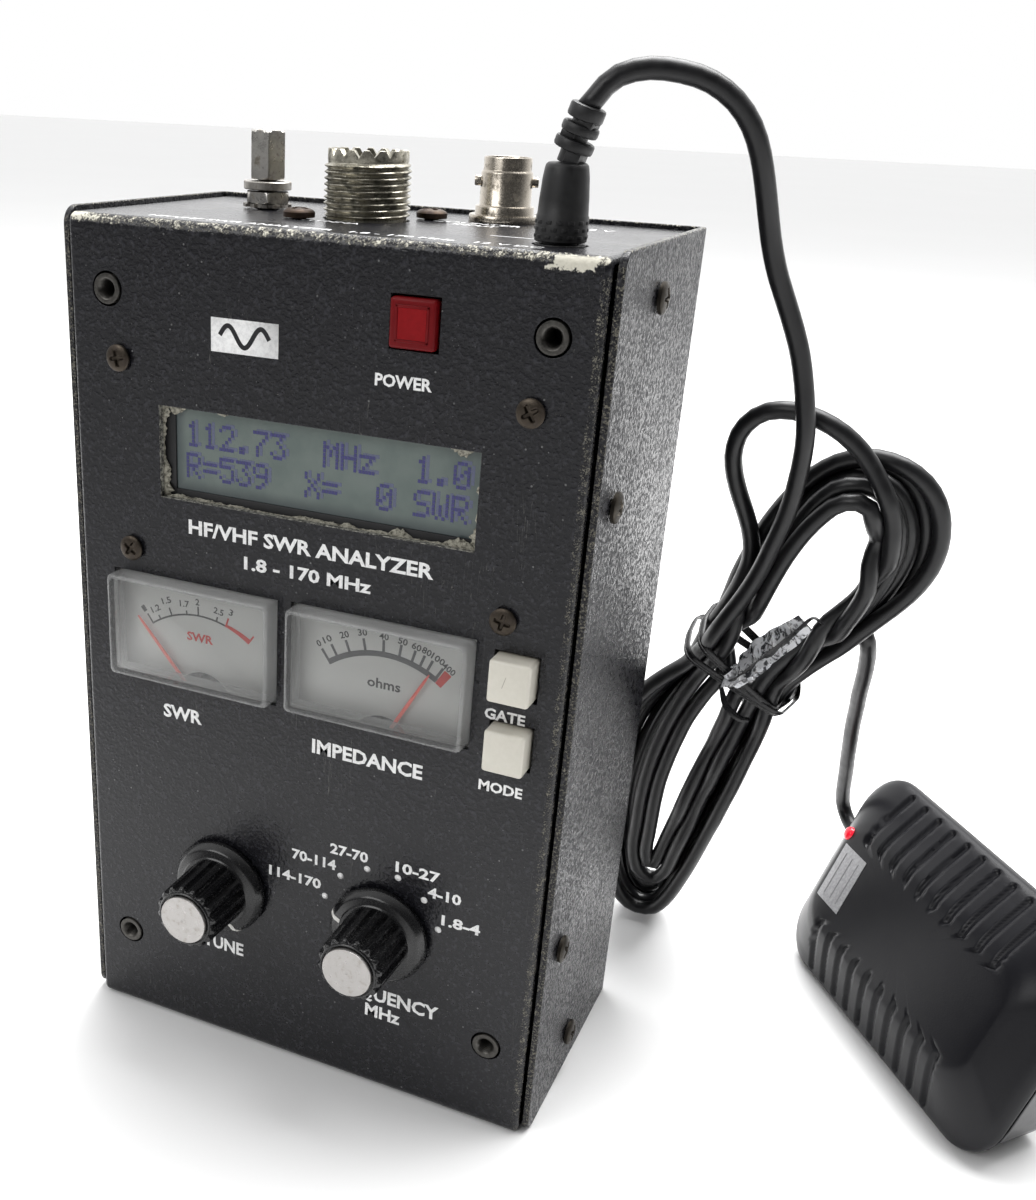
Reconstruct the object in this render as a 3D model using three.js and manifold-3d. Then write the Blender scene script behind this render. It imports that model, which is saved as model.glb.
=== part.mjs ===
// Handheld HF/VHF antenna (SWR) analyzer with its DC supply lead and plug-in adapter.
// Millimetres. X to the right, Y towards the back, Z up.
// Origin: centre of the bottom face. Front panel face at y = -DEPTH/2.

import * as THREE from 'three';
import { mergeVertices } from 'three/addons/utils/BufferGeometryUtils.js';
import Module from 'manifold-3d';

const wasm = await Module();
wasm.setup();

// ---------------------------------------------------------------- driving dimensions
const WIDTH = 104;            // case width
const DEPTH = 57;             // front panel face to back face
const HEIGHT = 170.5;         // bottom face to cover top edge
const SHEET = 1.25;           // case sheet thickness
const FRONT_Y = -DEPTH / 2;   // front panel face
const BACK_Y = DEPTH / 2;
const COVER_SETBACK = 1.3;    // cover side edge behind the panel face
const PANEL_HALF = 50.15;     // front panel half width
const TOP_Z = 169.7;          // outer face of the top plate
const GAP = 0.35;             // clearance between touching pieces
const PANEL_BEND = 1.8;       // outer bend radius between front, top and bottom plates

const STANDOFFS = [[-42, 157], [42, 157], [-42, 19.35], [42, 19.35]];
const STANDOFF_HOLE = 3.3;
const PANEL_SCREWS = [[-39.7, 145], [39.7, 145], [-38.1, 108.9], [38.1, 108.9]];
const COVER_SCREWS = [[-3.3, 161.3], [-18, 128.7], [-18.5, 39.9], [-3.9, 9.7]];   // y, z on each side

const LCD_WINDOW = { x0: -31.5, x1: 31.7, z0: 120, z1: 137.3 };
const LCD_FACE_Y = FRONT_Y + 2.5;

const METERS = {
  swr: { x0: -42.4, x1: -6.6, z0: 82.8, z1: 103.7, pivotX: -24.7, pivotZ: 78, angle: 131.8, length: 21.4 },
  impedance: { x0: -3.0, x1: 33.1, z0: 83.3, z1: 104.0, pivotX: 14.7, pivotZ: 78, angle: 60.7, length: 19.3 },
};
const METER_PROUD = 3.5;      // cover above the panel face
const DIAL_Y = FRONT_Y + 3.2; // dial plate plane
const NEEDLE_Y = FRONT_Y + 2.1;

const POWER = { x: 18.5, z: 156.85, w: 8.2, h: 8.2, proud: 1.2 };
const GATE = { x: 41.15, z: 99, w: 7.7, h: 8.0, proud: 4 };
const MODE = { x: 41.25, z: 85.55, w: 7.6, h: 8.1, proud: 4 };

const KNOB_Z = 38.6;
const TUNE_X = -18.2;
const BAND_X = 18.2;
const KNOB_LEN = 15;
const SKIRT_R = 10.4;
const GRIP_R = 6.9;

const SO239 = { x: -4.5, y: 0.5 };
const BNC = { x: 16.4, y: 16.5 };
const POST = { x: -28.2, y: 5.8 };
const DCIN = { x: 37.9, y: -16.2 };

const CORD_R = 1.7;
const CORD_SIDES = 8;

// Adapter: seam centre, length direction, outline and depths
const ADAPTER_HEADING = -0.943;
const ADAPTER_LEAN = 20 * Math.PI / 180;
const ADAPTER = { cx: 118.9, cy: 42.2, length: 80, seamH: 51.7, faceL: 61, faceH: 24.4, frontD: 8.9, baseD: 16, r: 10 };

// ---------------------------------------------------------------- helpers
const group = new THREE.Group();
const M = THREE.MathUtils;

function toSolid(geom) {
  let g = geom.clone();
  for (const name of Object.keys(g.attributes)) if (name !== 'position') g.deleteAttribute(name);
  g = mergeVertices(g, 1e-4);
  const pos = g.attributes.position.array;
  const idx = g.index ? Array.from(g.index.array) : [...Array(pos.length / 3).keys()];
  const tri = [];
  for (let i = 0; i < idx.length; i += 3) {
    const [a, b, c] = [idx[i], idx[i + 1], idx[i + 2]];
    if (a !== b && b !== c && a !== c) tri.push(a, b, c);
  }
  let volume = 0;
  for (let i = 0; i < tri.length; i += 3) {
    const [a, b, c] = [tri[i] * 3, tri[i + 1] * 3, tri[i + 2] * 3];
    volume += pos[a] * (pos[b + 1] * pos[c + 2] - pos[b + 2] * pos[c + 1])
      - pos[a + 1] * (pos[b] * pos[c + 2] - pos[b + 2] * pos[c])
      + pos[a + 2] * (pos[b] * pos[c + 1] - pos[b + 1] * pos[c]);
  }
  if (volume < 0) for (let i = 0; i < tri.length; i += 3) [tri[i + 1], tri[i + 2]] = [tri[i + 2], tri[i + 1]];
  return new wasm.Manifold(new wasm.Mesh({
    numProp: 3, vertProperties: new Float32Array(pos), triVerts: new Uint32Array(tri),
  }));
}

function toGeometry(solid) {
  const m = solid.getMesh();
  const g = new THREE.BufferGeometry();
  g.setAttribute('position', new THREE.BufferAttribute(new Float32Array(m.vertProperties), 3));
  g.setIndex(new THREE.BufferAttribute(new Uint32Array(m.triVerts), 1));
  g.computeVertexNormals();
  return g;
}

function material(color, roughness = 0.5, metalness = 0) {
  return new THREE.MeshStandardMaterial({ color, roughness, metalness });
}
const MAT = {
  paint: () => material(0x17181b, 0.45, 0.2),
  steel: () => material(0xb9b9b4, 0.3, 1),
  nickel: () => material(0xc9c4b8, 0.25, 1),
  darkSteel: () => material(0x2c2723, 0.5, 0.8),
  brass: () => material(0xb8955a, 0.35, 1),
  alu: () => material(0xc8c9cb, 0.3, 1),
  blackPlastic: () => material(0x0f0f11, 0.35),
  cordPvc: () => material(0x141417, 0.5),
  redPlastic: () => material(0xa01018, 0.35),
  whitePlastic: () => material(0xe9e4da, 0.5),
  clear: () => material(0xe8eef0, 0.1),
  dial: () => material(0xc9cac8, 0.6),
  needle: () => material(0xf05050, 0.5),
  board: () => material(0x1f5a35, 0.6),
  lcd: () => material(0x93a093, 0.3),
  white: () => material(0xf2efe6, 0.4),
  grey: () => material(0x55585c, 0.6),
};

function add(name, solidOrGeom, mat) {
  const geom = solidOrGeom.isBufferGeometry ? toGeometry(toSolid(solidOrGeom)) : toGeometry(solidOrGeom);
  const mesh = new THREE.Mesh(geom, mat);
  mesh.name = name;
  group.add(mesh);
  return mesh;
}

function box(x0, x1, y0, y1, z0, z1) {
  const g = new THREE.BoxGeometry(x1 - x0, y1 - y0, z1 - z0);
  g.translate((x0 + x1) / 2, (y0 + y1) / 2, (z0 + z1) / 2);
  return toSolid(g);
}
// cylinder or cone between two distances along an axis
function cyl(axis, c1, c2, from, to, r0, r1 = r0, sides = 32, turn = 0) {
  const g = new THREE.CylinderGeometry(r1, r0, to - from, sides);   // along +Y, r1 at the far end
  g.rotateY(turn);
  g.translate(0, (from + to) / 2, 0);
  if (axis === 'y') g.translate(c1, 0, c2);
  if (axis === 'z') { g.rotateX(Math.PI / 2); g.translate(c1, c2, 0); }
  if (axis === 'x') { g.rotateZ(-Math.PI / 2); g.translate(0, c1, c2); }
  return toSolid(g);
}
function roundRectShape(w, h, r) {
  const s = new THREE.Shape(), a = w / 2, b = h / 2;
  s.moveTo(-a + r, -b); s.lineTo(a - r, -b); s.absarc(a - r, -b + r, r, -Math.PI / 2, 0);
  s.lineTo(a, b - r); s.absarc(a - r, b - r, r, 0, Math.PI / 2);
  s.lineTo(-a + r, b); s.absarc(-a + r, b - r, r, Math.PI / 2, Math.PI);
  s.lineTo(-a, -b + r); s.absarc(-a + r, -b + r, r, Math.PI, 1.5 * Math.PI);
  return s;
}
// a plate with rounded corners standing on the XZ plane, between y0 and y1
function plateXZ(x0, x1, z0, z1, y0, y1, r, bevel = 0, curve = 4) {
  const w = x1 - x0, h = z1 - z0;
  const g = new THREE.ExtrudeGeometry(roundRectShape(w - 2 * bevel, h - 2 * bevel, Math.max(r - bevel, 0.05)), {
    depth: y1 - y0 - 2 * bevel, curveSegments: curve, bevelEnabled: bevel > 0,
    bevelThickness: bevel, bevelSize: bevel, bevelSegments: 1,
  });
  g.translate(0, 0, bevel);
  g.rotateX(Math.PI / 2);            // shape y -> z, depth -> -y
  g.translate((x0 + x1) / 2, y1, (z0 + z1) / 2);
  return toSolid(g);
}
// solid of revolution about a vertical axis; profile is [radius, height] from axis to axis
function lathe(profile, sides = 32) {
  const g = new THREE.LatheGeometry(profile.map(([r, h]) => new THREE.Vector2(r, h)), sides);
  g.rotateX(Math.PI / 2);
  return toSolid(g);
}
// a closed skin through rings of points, each ring convex and with the same count
function loft(rings) {
  const n = rings[0].length, pos = [], idx = [];
  for (const ring of rings) for (const p of ring) pos.push(p.x, p.y, p.z);
  for (let k = 0; k + 1 < rings.length; k++) for (let i = 0; i < n; i++) {
    const a = k * n + i, b = k * n + (i + 1) % n, c = a + n, d = b + n;
    idx.push(a, b, d, a, d, c);
  }
  for (const [k, flip] of [[0, true], [rings.length - 1, false]]) {
    const c = new THREE.Vector3();
    for (const p of rings[k]) c.addScaledVector(p, 1 / n);
    const ci = pos.length / 3;
    pos.push(c.x, c.y, c.z);
    for (let i = 0; i < n; i++) {
      const a = k * n + i, b = k * n + (i + 1) % n;
      if (flip) idx.push(ci, b, a); else idx.push(ci, a, b);
    }
  }
  const g = new THREE.BufferGeometry();
  g.setAttribute('position', new THREE.Float32BufferAttribute(pos, 3));
  g.setIndex(idx);
  return toSolid(g);
}
function tube(points, r, sides, steps) {
  const curve = new THREE.CatmullRomCurve3(points.map(p => new THREE.Vector3(...p)), false, 'centripetal');
  const s = new THREE.Shape();
  for (let i = 0; i < sides; i++) {
    const a = 2 * Math.PI * (i + 0.5) / sides;
    if (i === 0) s.moveTo(r * Math.cos(a), r * Math.sin(a)); else s.lineTo(r * Math.cos(a), r * Math.sin(a));
  }
  s.closePath();
  return toSolid(new THREE.ExtrudeGeometry(s, { steps, extrudePath: curve, bevelEnabled: false }));
}
function transform(solid, matrix) {
  const g = toGeometry(solid);
  g.applyMatrix4(matrix);
  return toSolid(g);
}
const hexR = af => af / Math.sqrt(3);

// ---------------------------------------------------------------- case
{
  // U-shaped chassis: bottom, front and top plates bent from one sheet
  const b = PANEL_BEND, o = new THREE.Shape();
  const yBack = BACK_Y - SHEET - GAP;
  o.moveTo(yBack, 0); o.lineTo(FRONT_Y + b, 0); o.absarc(FRONT_Y + b, b, b, -Math.PI / 2, -Math.PI, true);
  o.lineTo(FRONT_Y, TOP_Z - b); o.absarc(FRONT_Y + b, TOP_Z - b, b, Math.PI, Math.PI / 2, true);
  o.lineTo(yBack, TOP_Z); o.lineTo(yBack, TOP_Z - SHEET);
  const ri = b - SHEET;
  o.lineTo(FRONT_Y + b, TOP_Z - SHEET); o.absarc(FRONT_Y + b, TOP_Z - b, ri, Math.PI / 2, Math.PI, false);
  o.lineTo(FRONT_Y + SHEET, b); o.absarc(FRONT_Y + b, b, ri, Math.PI, 1.5 * Math.PI, false);
  o.lineTo(yBack, SHEET);
  const g = new THREE.ExtrudeGeometry(o, { depth: 2 * PANEL_HALF, bevelEnabled: false, curveSegments: 5 });
  // shape x -> world y, shape y -> world z, depth -> world x
  g.applyMatrix4(new THREE.Matrix4().makeBasis(new THREE.Vector3(0, 1, 0), new THREE.Vector3(0, 0, 1), new THREE.Vector3(1, 0, 0)));
  g.translate(-PANEL_HALF, 0, 0);
  let chassis = toSolid(g);
  for (const s of [-1, 1]) {
    const a = s > 0 ? PANEL_HALF - SHEET : -PANEL_HALF, c = a + SHEET;
    chassis = chassis.add(box(a, c, FRONT_Y + 0.6, FRONT_Y + 16, 24, 146));       // front side flanges
    chassis = chassis.add(box(a, c, -22, 24, TOP_Z - 15, TOP_Z - 0.6));           // top plate lips
    chassis = chassis.add(box(a, c, -22, 24, 0.6, 15));                           // bottom plate lips
    for (const [y, z] of COVER_SCREWS) chassis = chassis.subtract(cyl('x', y, z, Math.min(a, c) - 1, Math.max(a, c) + 1, 1.45, 1.45, 16));
  }
  const y0 = FRONT_Y - 1, y1 = FRONT_Y + SHEET + 1;
  const L = LCD_WINDOW;
  chassis = chassis.subtract(box(L.x0, L.x1, y0, y1, L.z0, L.z1));
  for (const k of ['swr', 'impedance']) {
    const m = METERS[k];
    chassis = chassis.subtract(box(m.x0 - GAP, m.x1 + GAP, y0, y1, m.z0 - GAP, m.z1 + GAP));
  }
  for (const q of [POWER, GATE, MODE]) chassis = chassis.subtract(box(q.x - q.w / 2 - GAP, q.x + q.w / 2 + GAP, y0, y1, q.z - q.h / 2 - GAP, q.z + q.h / 2 + GAP));
  for (const [x, z] of STANDOFFS) chassis = chassis.subtract(cyl('y', x, z, y0, y1, 3.1, 3.1, 24));
  for (const [x, z] of PANEL_SCREWS) chassis = chassis.subtract(cyl('y', x, z, y0, y1, 1.7, 1.7, 16));
  for (const x of [TUNE_X, BAND_X]) chassis = chassis.subtract(cyl('y', x, KNOB_Z, y0, y1, 4.2, 4.2, 24));
  const t0 = TOP_Z - SHEET - 1, t1 = TOP_Z + 1;
  chassis = chassis.subtract(cyl('z', SO239.x, SO239.y, t0, t1, 7.6, 7.6, 32));
  chassis = chassis.subtract(cyl('z', BNC.x, BNC.y, t0, t1, 4.6, 4.6, 24));
  chassis = chassis.subtract(cyl('z', POST.x, POST.y, t0, t1, 2.4, 2.4, 20));
  chassis = chassis.subtract(cyl('z', DCIN.x, DCIN.y, t0, t1, 4.6, 4.6, 24));
  for (const s of [-1, 1]) chassis = chassis.subtract(cyl('z', SO239.x + s * 9.14, SO239.y + s * 9.14, t0, t1, 1.75, 1.75, 16));
  add('chassis', chassis, MAT.paint());
}
{
  // U-shaped cover: left side, back and right side, front corners rounded
  const side = x0 => {
    const s = new THREE.Shape(), yF = FRONT_Y + COVER_SETBACK, z0 = 0.2, z1 = HEIGHT, r = 3.2;
    s.moveTo(BACK_Y, z0); s.lineTo(yF + r, z0); s.absarc(yF + r, z0 + r, r, -Math.PI / 2, -Math.PI, true);
    s.lineTo(yF, z1 - r); s.absarc(yF + r, z1 - r, r, Math.PI, Math.PI / 2, true); s.lineTo(BACK_Y, z1);
    const g = new THREE.ExtrudeGeometry(s, { depth: SHEET, bevelEnabled: false, curveSegments: 6 });
    g.applyMatrix4(new THREE.Matrix4().makeBasis(new THREE.Vector3(0, 1, 0), new THREE.Vector3(0, 0, 1), new THREE.Vector3(1, 0, 0)));
    g.translate(x0, 0, 0);
    return toSolid(g);
  };
  let cover = side(-WIDTH / 2).add(side(WIDTH / 2 - SHEET)).add(box(-WIDTH / 2, WIDTH / 2, BACK_Y - SHEET, BACK_Y, 0.2, HEIGHT));
  // rounded vertical back edges
  for (const s of [-1, 1]) {
    const r = 1.6, cx = s * (WIDTH / 2 - r), cy = BACK_Y - r;
    const corner = box(Math.min(cx, s * (WIDTH / 2 + 1)), Math.max(cx, s * (WIDTH / 2 + 1)), cy, BACK_Y + 1, -1, HEIGHT + 1)
      .subtract(cyl('z', cx, cy, -2, HEIGHT + 2, r, r, 24));
    cover = cover.subtract(corner);
  }
  for (const s of [-1, 1]) for (const [y, z] of COVER_SCREWS) cover = cover.subtract(cyl('x', y, z, s > 0 ? 49 : -53, s > 0 ? 53 : -49, 1.75, 1.75, 16));
  add('rear_cover', cover, MAT.paint());
}

// ---------------------------------------------------------------- screws
// pan head screw, head on +Z above z = 0, shank below
function panScrew(headR, headH, shankR, shankL, gap = 0.3) {
  const z = gap;
  let s = lathe([[0, -shankL], [shankR, -shankL], [shankR, z], [headR, z], [headR, z + headH * 0.4], [headR * 0.6, z + headH], [0, z + headH]], 12);
  const w = headR * 0.22, l = headR * 0.56;
  s = s.subtract(box(-l, l, -w / 2, w / 2, z + headH * 0.45, z + headH + 1)).subtract(box(-w / 2, w / 2, -l, l, z + headH * 0.45, z + headH + 1));
  return s;
}
const along = (dir, at, spin = 0) => {
  const q = new THREE.Quaternion().setFromUnitVectors(new THREE.Vector3(0, 0, 1), new THREE.Vector3(...dir));
  const m = new THREE.Matrix4().makeRotationFromQuaternion(q).multiply(new THREE.Matrix4().makeRotationZ(spin));
  m.setPosition(...at);
  return m;
};
let n = 0;
for (const s of [-1, 1]) for (const [y, z] of COVER_SCREWS) {
  n++;
  add(`cover_screw_${n}`, transform(panScrew(2.75, 1.25, 1.3, 5), along([s, 0, 0], [s * WIDTH / 2, y, z], 0.3 * n)), MAT.darkSteel());
}
PANEL_SCREWS.forEach(([x, z], i) => add(`panel_screw_${i + 1}`,
  transform(panScrew(2.45, 1.0, 1.4, 4.2), along([0, -1, 0], [x, FRONT_Y, z], 0.4 * i)), MAT.darkSteel()));
STANDOFFS.forEach(([x, z], i) => {
  // threaded sleeve flush in the panel, with its open bore
  let s = cyl('y', x, z, FRONT_Y - 0.25, FRONT_Y + 7, 2.75, 2.75, 24);
  s = s.subtract(cyl('y', x, z, FRONT_Y - 1, FRONT_Y + 8, STANDOFF_HOLE / 2, STANDOFF_HOLE / 2, 16));
  add(`panel_standoff_${i + 1}`, s, MAT.darkSteel());
});

// ---------------------------------------------------------------- display
{
  const L = LCD_WINDOW;
  let m = box(-40, 40, LCD_FACE_Y + 3.5, LCD_FACE_Y + 5.1, L.z0 - 9.4, L.z1 + 9.4);      // display board
  m = m.add(plateXZ(-35.6, 35.8, L.z0 - 3.6, L.z1 + 3.6, LCD_FACE_Y, LCD_FACE_Y + 3.7, 0.6));
  m = m.add(box(-34, 34, LCD_FACE_Y + 5, LCD_FACE_Y + 8, L.z0, L.z1));
  add('lcd_module', m, MAT.lcd());
}

// ---------------------------------------------------------------- meters
for (const [key, m] of Object.entries(METERS)) {
  const wall = 1.0, yF = FRONT_Y - METER_PROUD, yB = FRONT_Y + SHEET + 0.1;
  let c = plateXZ(m.x0, m.x1, m.z0, m.z1, yF, yB, 0.9, 0.4, 3);
  c = c.subtract(box(m.x0 + wall, m.x1 - wall, yF + wall, yB + 1, m.z0 + wall, m.z1 - wall));
  add(`${key}_meter_cover`, c, MAT.clear());
  // body behind the panel, its front recess holding the needle
  const bx0 = m.x0 + (key === 'swr' ? -0.4 : 0.3), bx1 = m.x1 + (key === 'swr' ? -0.3 : 0.4);
  let b = box(bx0, bx1, yB + GAP, FRONT_Y + 15, 73.4, m.z1 + 1);
  b = b.subtract(box(bx0 + 1.2, bx1 - 1.2, yB, DIAL_Y, 74.3, m.z1 - 0.2));
  add(`${key}_meter_body`, b, MAT.dial());
  // balanced needle on its hub
  const t = M.degToRad(m.angle);
  let nd = box(-3.2, m.length, -0.2, 0.2, -0.28, 0.28).add(box(-3.2, -1.2, -0.3, 0.3, -0.8, 0.8)).add(cyl('y', 0, 0, -0.45, 0.45, 1.3, 1.3, 16));
  const mt = new THREE.Matrix4().makeRotationY(-t);
  mt.setPosition(m.pivotX, NEEDLE_Y, m.pivotZ);
  add(`${key}_needle`, transform(nd, mt), MAT.needle());
}

// ---------------------------------------------------------------- buttons and their switches
const buttonCap = (q, back) => plateXZ(q.x - q.w / 2, q.x + q.w / 2, q.z - q.h / 2, q.z + q.h / 2, FRONT_Y - q.proud, back, 0.7, 0.35, 3);
add('power_button', buttonCap(POWER, FRONT_Y + 4).add(box(POWER.x - 2, POWER.x + 2, FRONT_Y + 3, FRONT_Y + 7, POWER.z - 2, POWER.z + 2)), MAT.redPlastic());
add('power_switch', box(POWER.x - 5, POWER.x + 5, FRONT_Y + 7.8, FRONT_Y + 17, POWER.z - 6, POWER.z + 6)
  .subtract(box(POWER.x - 2.3, POWER.x + 2.3, FRONT_Y + 7, FRONT_Y + 11, POWER.z - 2.3, POWER.z + 2.3)), MAT.blackPlastic());
for (const [name, q] of [['gate_button', GATE], ['mode_button', MODE]]) {
  add(name, buttonCap(q, FRONT_Y + 3).add(box(q.x - 1.4, q.x + 1.4, FRONT_Y + 2.5, FRONT_Y + 5.5, q.z - 1.4, q.z + 1.4)), MAT.whitePlastic());
}
{
  let s = box(36.6, 45.9, FRONT_Y + 7.2, FRONT_Y + 13, GATE.z - 5, GATE.z + 5).add(box(36.6, 45.9, FRONT_Y + 7.2, FRONT_Y + 13, MODE.z - 5, MODE.z + 5))
    .add(box(36.6, 45.9, FRONT_Y + 11, FRONT_Y + 13, MODE.z, GATE.z));
  add('key_switches', s, MAT.blackPlastic());
}

// ---------------------------------------------------------------- knobs
function knob(x, pointer) {
  const base = FRONT_Y - 0.8;                          // underside of the skirt
  const parts = [];
  // skirt with a bevelled rim
  let k = lathe([[0, 0], [SKIRT_R, 0], [SKIRT_R, 1.0], [SKIRT_R - 1.1, 2.4], [GRIP_R + 0.9, 3.0], [0, 3.0]], 32);
  // fluted grip, slightly tapered
  const s = new THREE.Shape(), N = 16;
  for (let i = 0; i < N * 4; i++) {
    const a = 2 * Math.PI * i / (N * 4), r = [GRIP_R, GRIP_R, GRIP_R - 0.75, GRIP_R - 0.75][i % 4];
    if (i === 0) s.moveTo(r * Math.cos(a), r * Math.sin(a)); else s.lineTo(r * Math.cos(a), r * Math.sin(a));
  }
  s.closePath();
  const g = new THREE.ExtrudeGeometry(s, { depth: KNOB_LEN - 1.2 - 2.8, bevelEnabled: false });
  g.translate(0, 0, 2.8);
  k = k.add(toSolid(g));
  k = k.add(cyl('z', 0, 0, KNOB_LEN - 1.5, KNOB_LEN - 0.7, 5.9, 5.75, 32));
  k = k.subtract(cyl('z', 0, 0, KNOB_LEN - 1.1, KNOB_LEN + 1, 5.45, 5.45, 32));     // recess for the metal disc
  k = k.add(cyl('z', 0, 0, -13, 0.5, 3.1, 3.1, 20));                                // shaft through the panel
  k = transform(k, new THREE.Matrix4().makeRotationZ(pointer));
  return { body: transform(k, along([0, -1, 0], [x, base, KNOB_Z])), base };
}
for (const [name, x, ang] of [['tune', TUNE_X, -62], ['frequency', BAND_X, 164.5]]) {
  const k = knob(x, M.degToRad(ang));
  add(`${name}_knob`, k.body, MAT.blackPlastic());
  const y = k.base - KNOB_LEN;
  add(`${name}_knob_disc`, cyl('y', x, KNOB_Z, y, y + 0.75, 5.1, 5.1, 32), MAT.alu());
}
// controls behind the panel: variable capacitor and band switch, each bored for its shaft
{
  let c = box(TUNE_X - 14, TUNE_X + 14, FRONT_Y + SHEET + GAP, FRONT_Y + 30, KNOB_Z - 13, KNOB_Z + 13);
  c = c.subtract(cyl('y', TUNE_X, KNOB_Z, FRONT_Y, FRONT_Y + 14, 3.5, 3.5, 20));
  add('tuning_capacitor', c, MAT.alu());
  let b = cyl('y', BAND_X, KNOB_Z, FRONT_Y + SHEET + GAP, FRONT_Y + 26, 13, 13, 32);
  b = b.subtract(cyl('y', BAND_X, KNOB_Z, FRONT_Y, FRONT_Y + 14, 3.5, 3.5, 20));
  add('band_switch', b, MAT.blackPlastic());
}
// ---------------------------------------------------------------- main board and battery holders
{
  let p = box(-46, 46, FRONT_Y + 17.5, FRONT_Y + 19.1, 66, 152);
  add('circuit_board', p, MAT.board());
  add('battery_holder_upper', box(-40, 34, -6.5, 23.5, 92, 146).subtract(box(-38.5, 32.5, -2, 24.5, 93.5, 144.5)).add(
    cyl('z', -30.5, 13.5, 93, 145, 7.1, 7.1, 20)).add(cyl('z', -14.8, 13.5, 93, 145, 7.1, 7.1, 20)).add(cyl('z', 1, 13.5, 93, 145, 7.1, 7.1, 20)).add(cyl('z', 16.8, 13.5, 93, 145, 7.1, 7.1, 20)), MAT.grey());
  add('battery_holder_lower', box(-40, 40, 3, 23.5, 18, 72).subtract(box(-38.5, 38.5, 6, 24.5, 19.5, 70.5)).add(
    cyl('z', -30.5, 14.5, 19, 71, 7.1, 7.1, 20)).add(cyl('z', -14.8, 14.5, 19, 71, 7.1, 7.1, 20)).add(cyl('z', 1, 14.5, 19, 71, 7.1, 7.1, 20)).add(cyl('z', 16.8, 14.5, 19, 71, 7.1, 7.1, 20)).add(cyl('z', 31.2, 14.5, 19, 71, 6.9, 6.9, 20)), MAT.grey());
}

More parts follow.
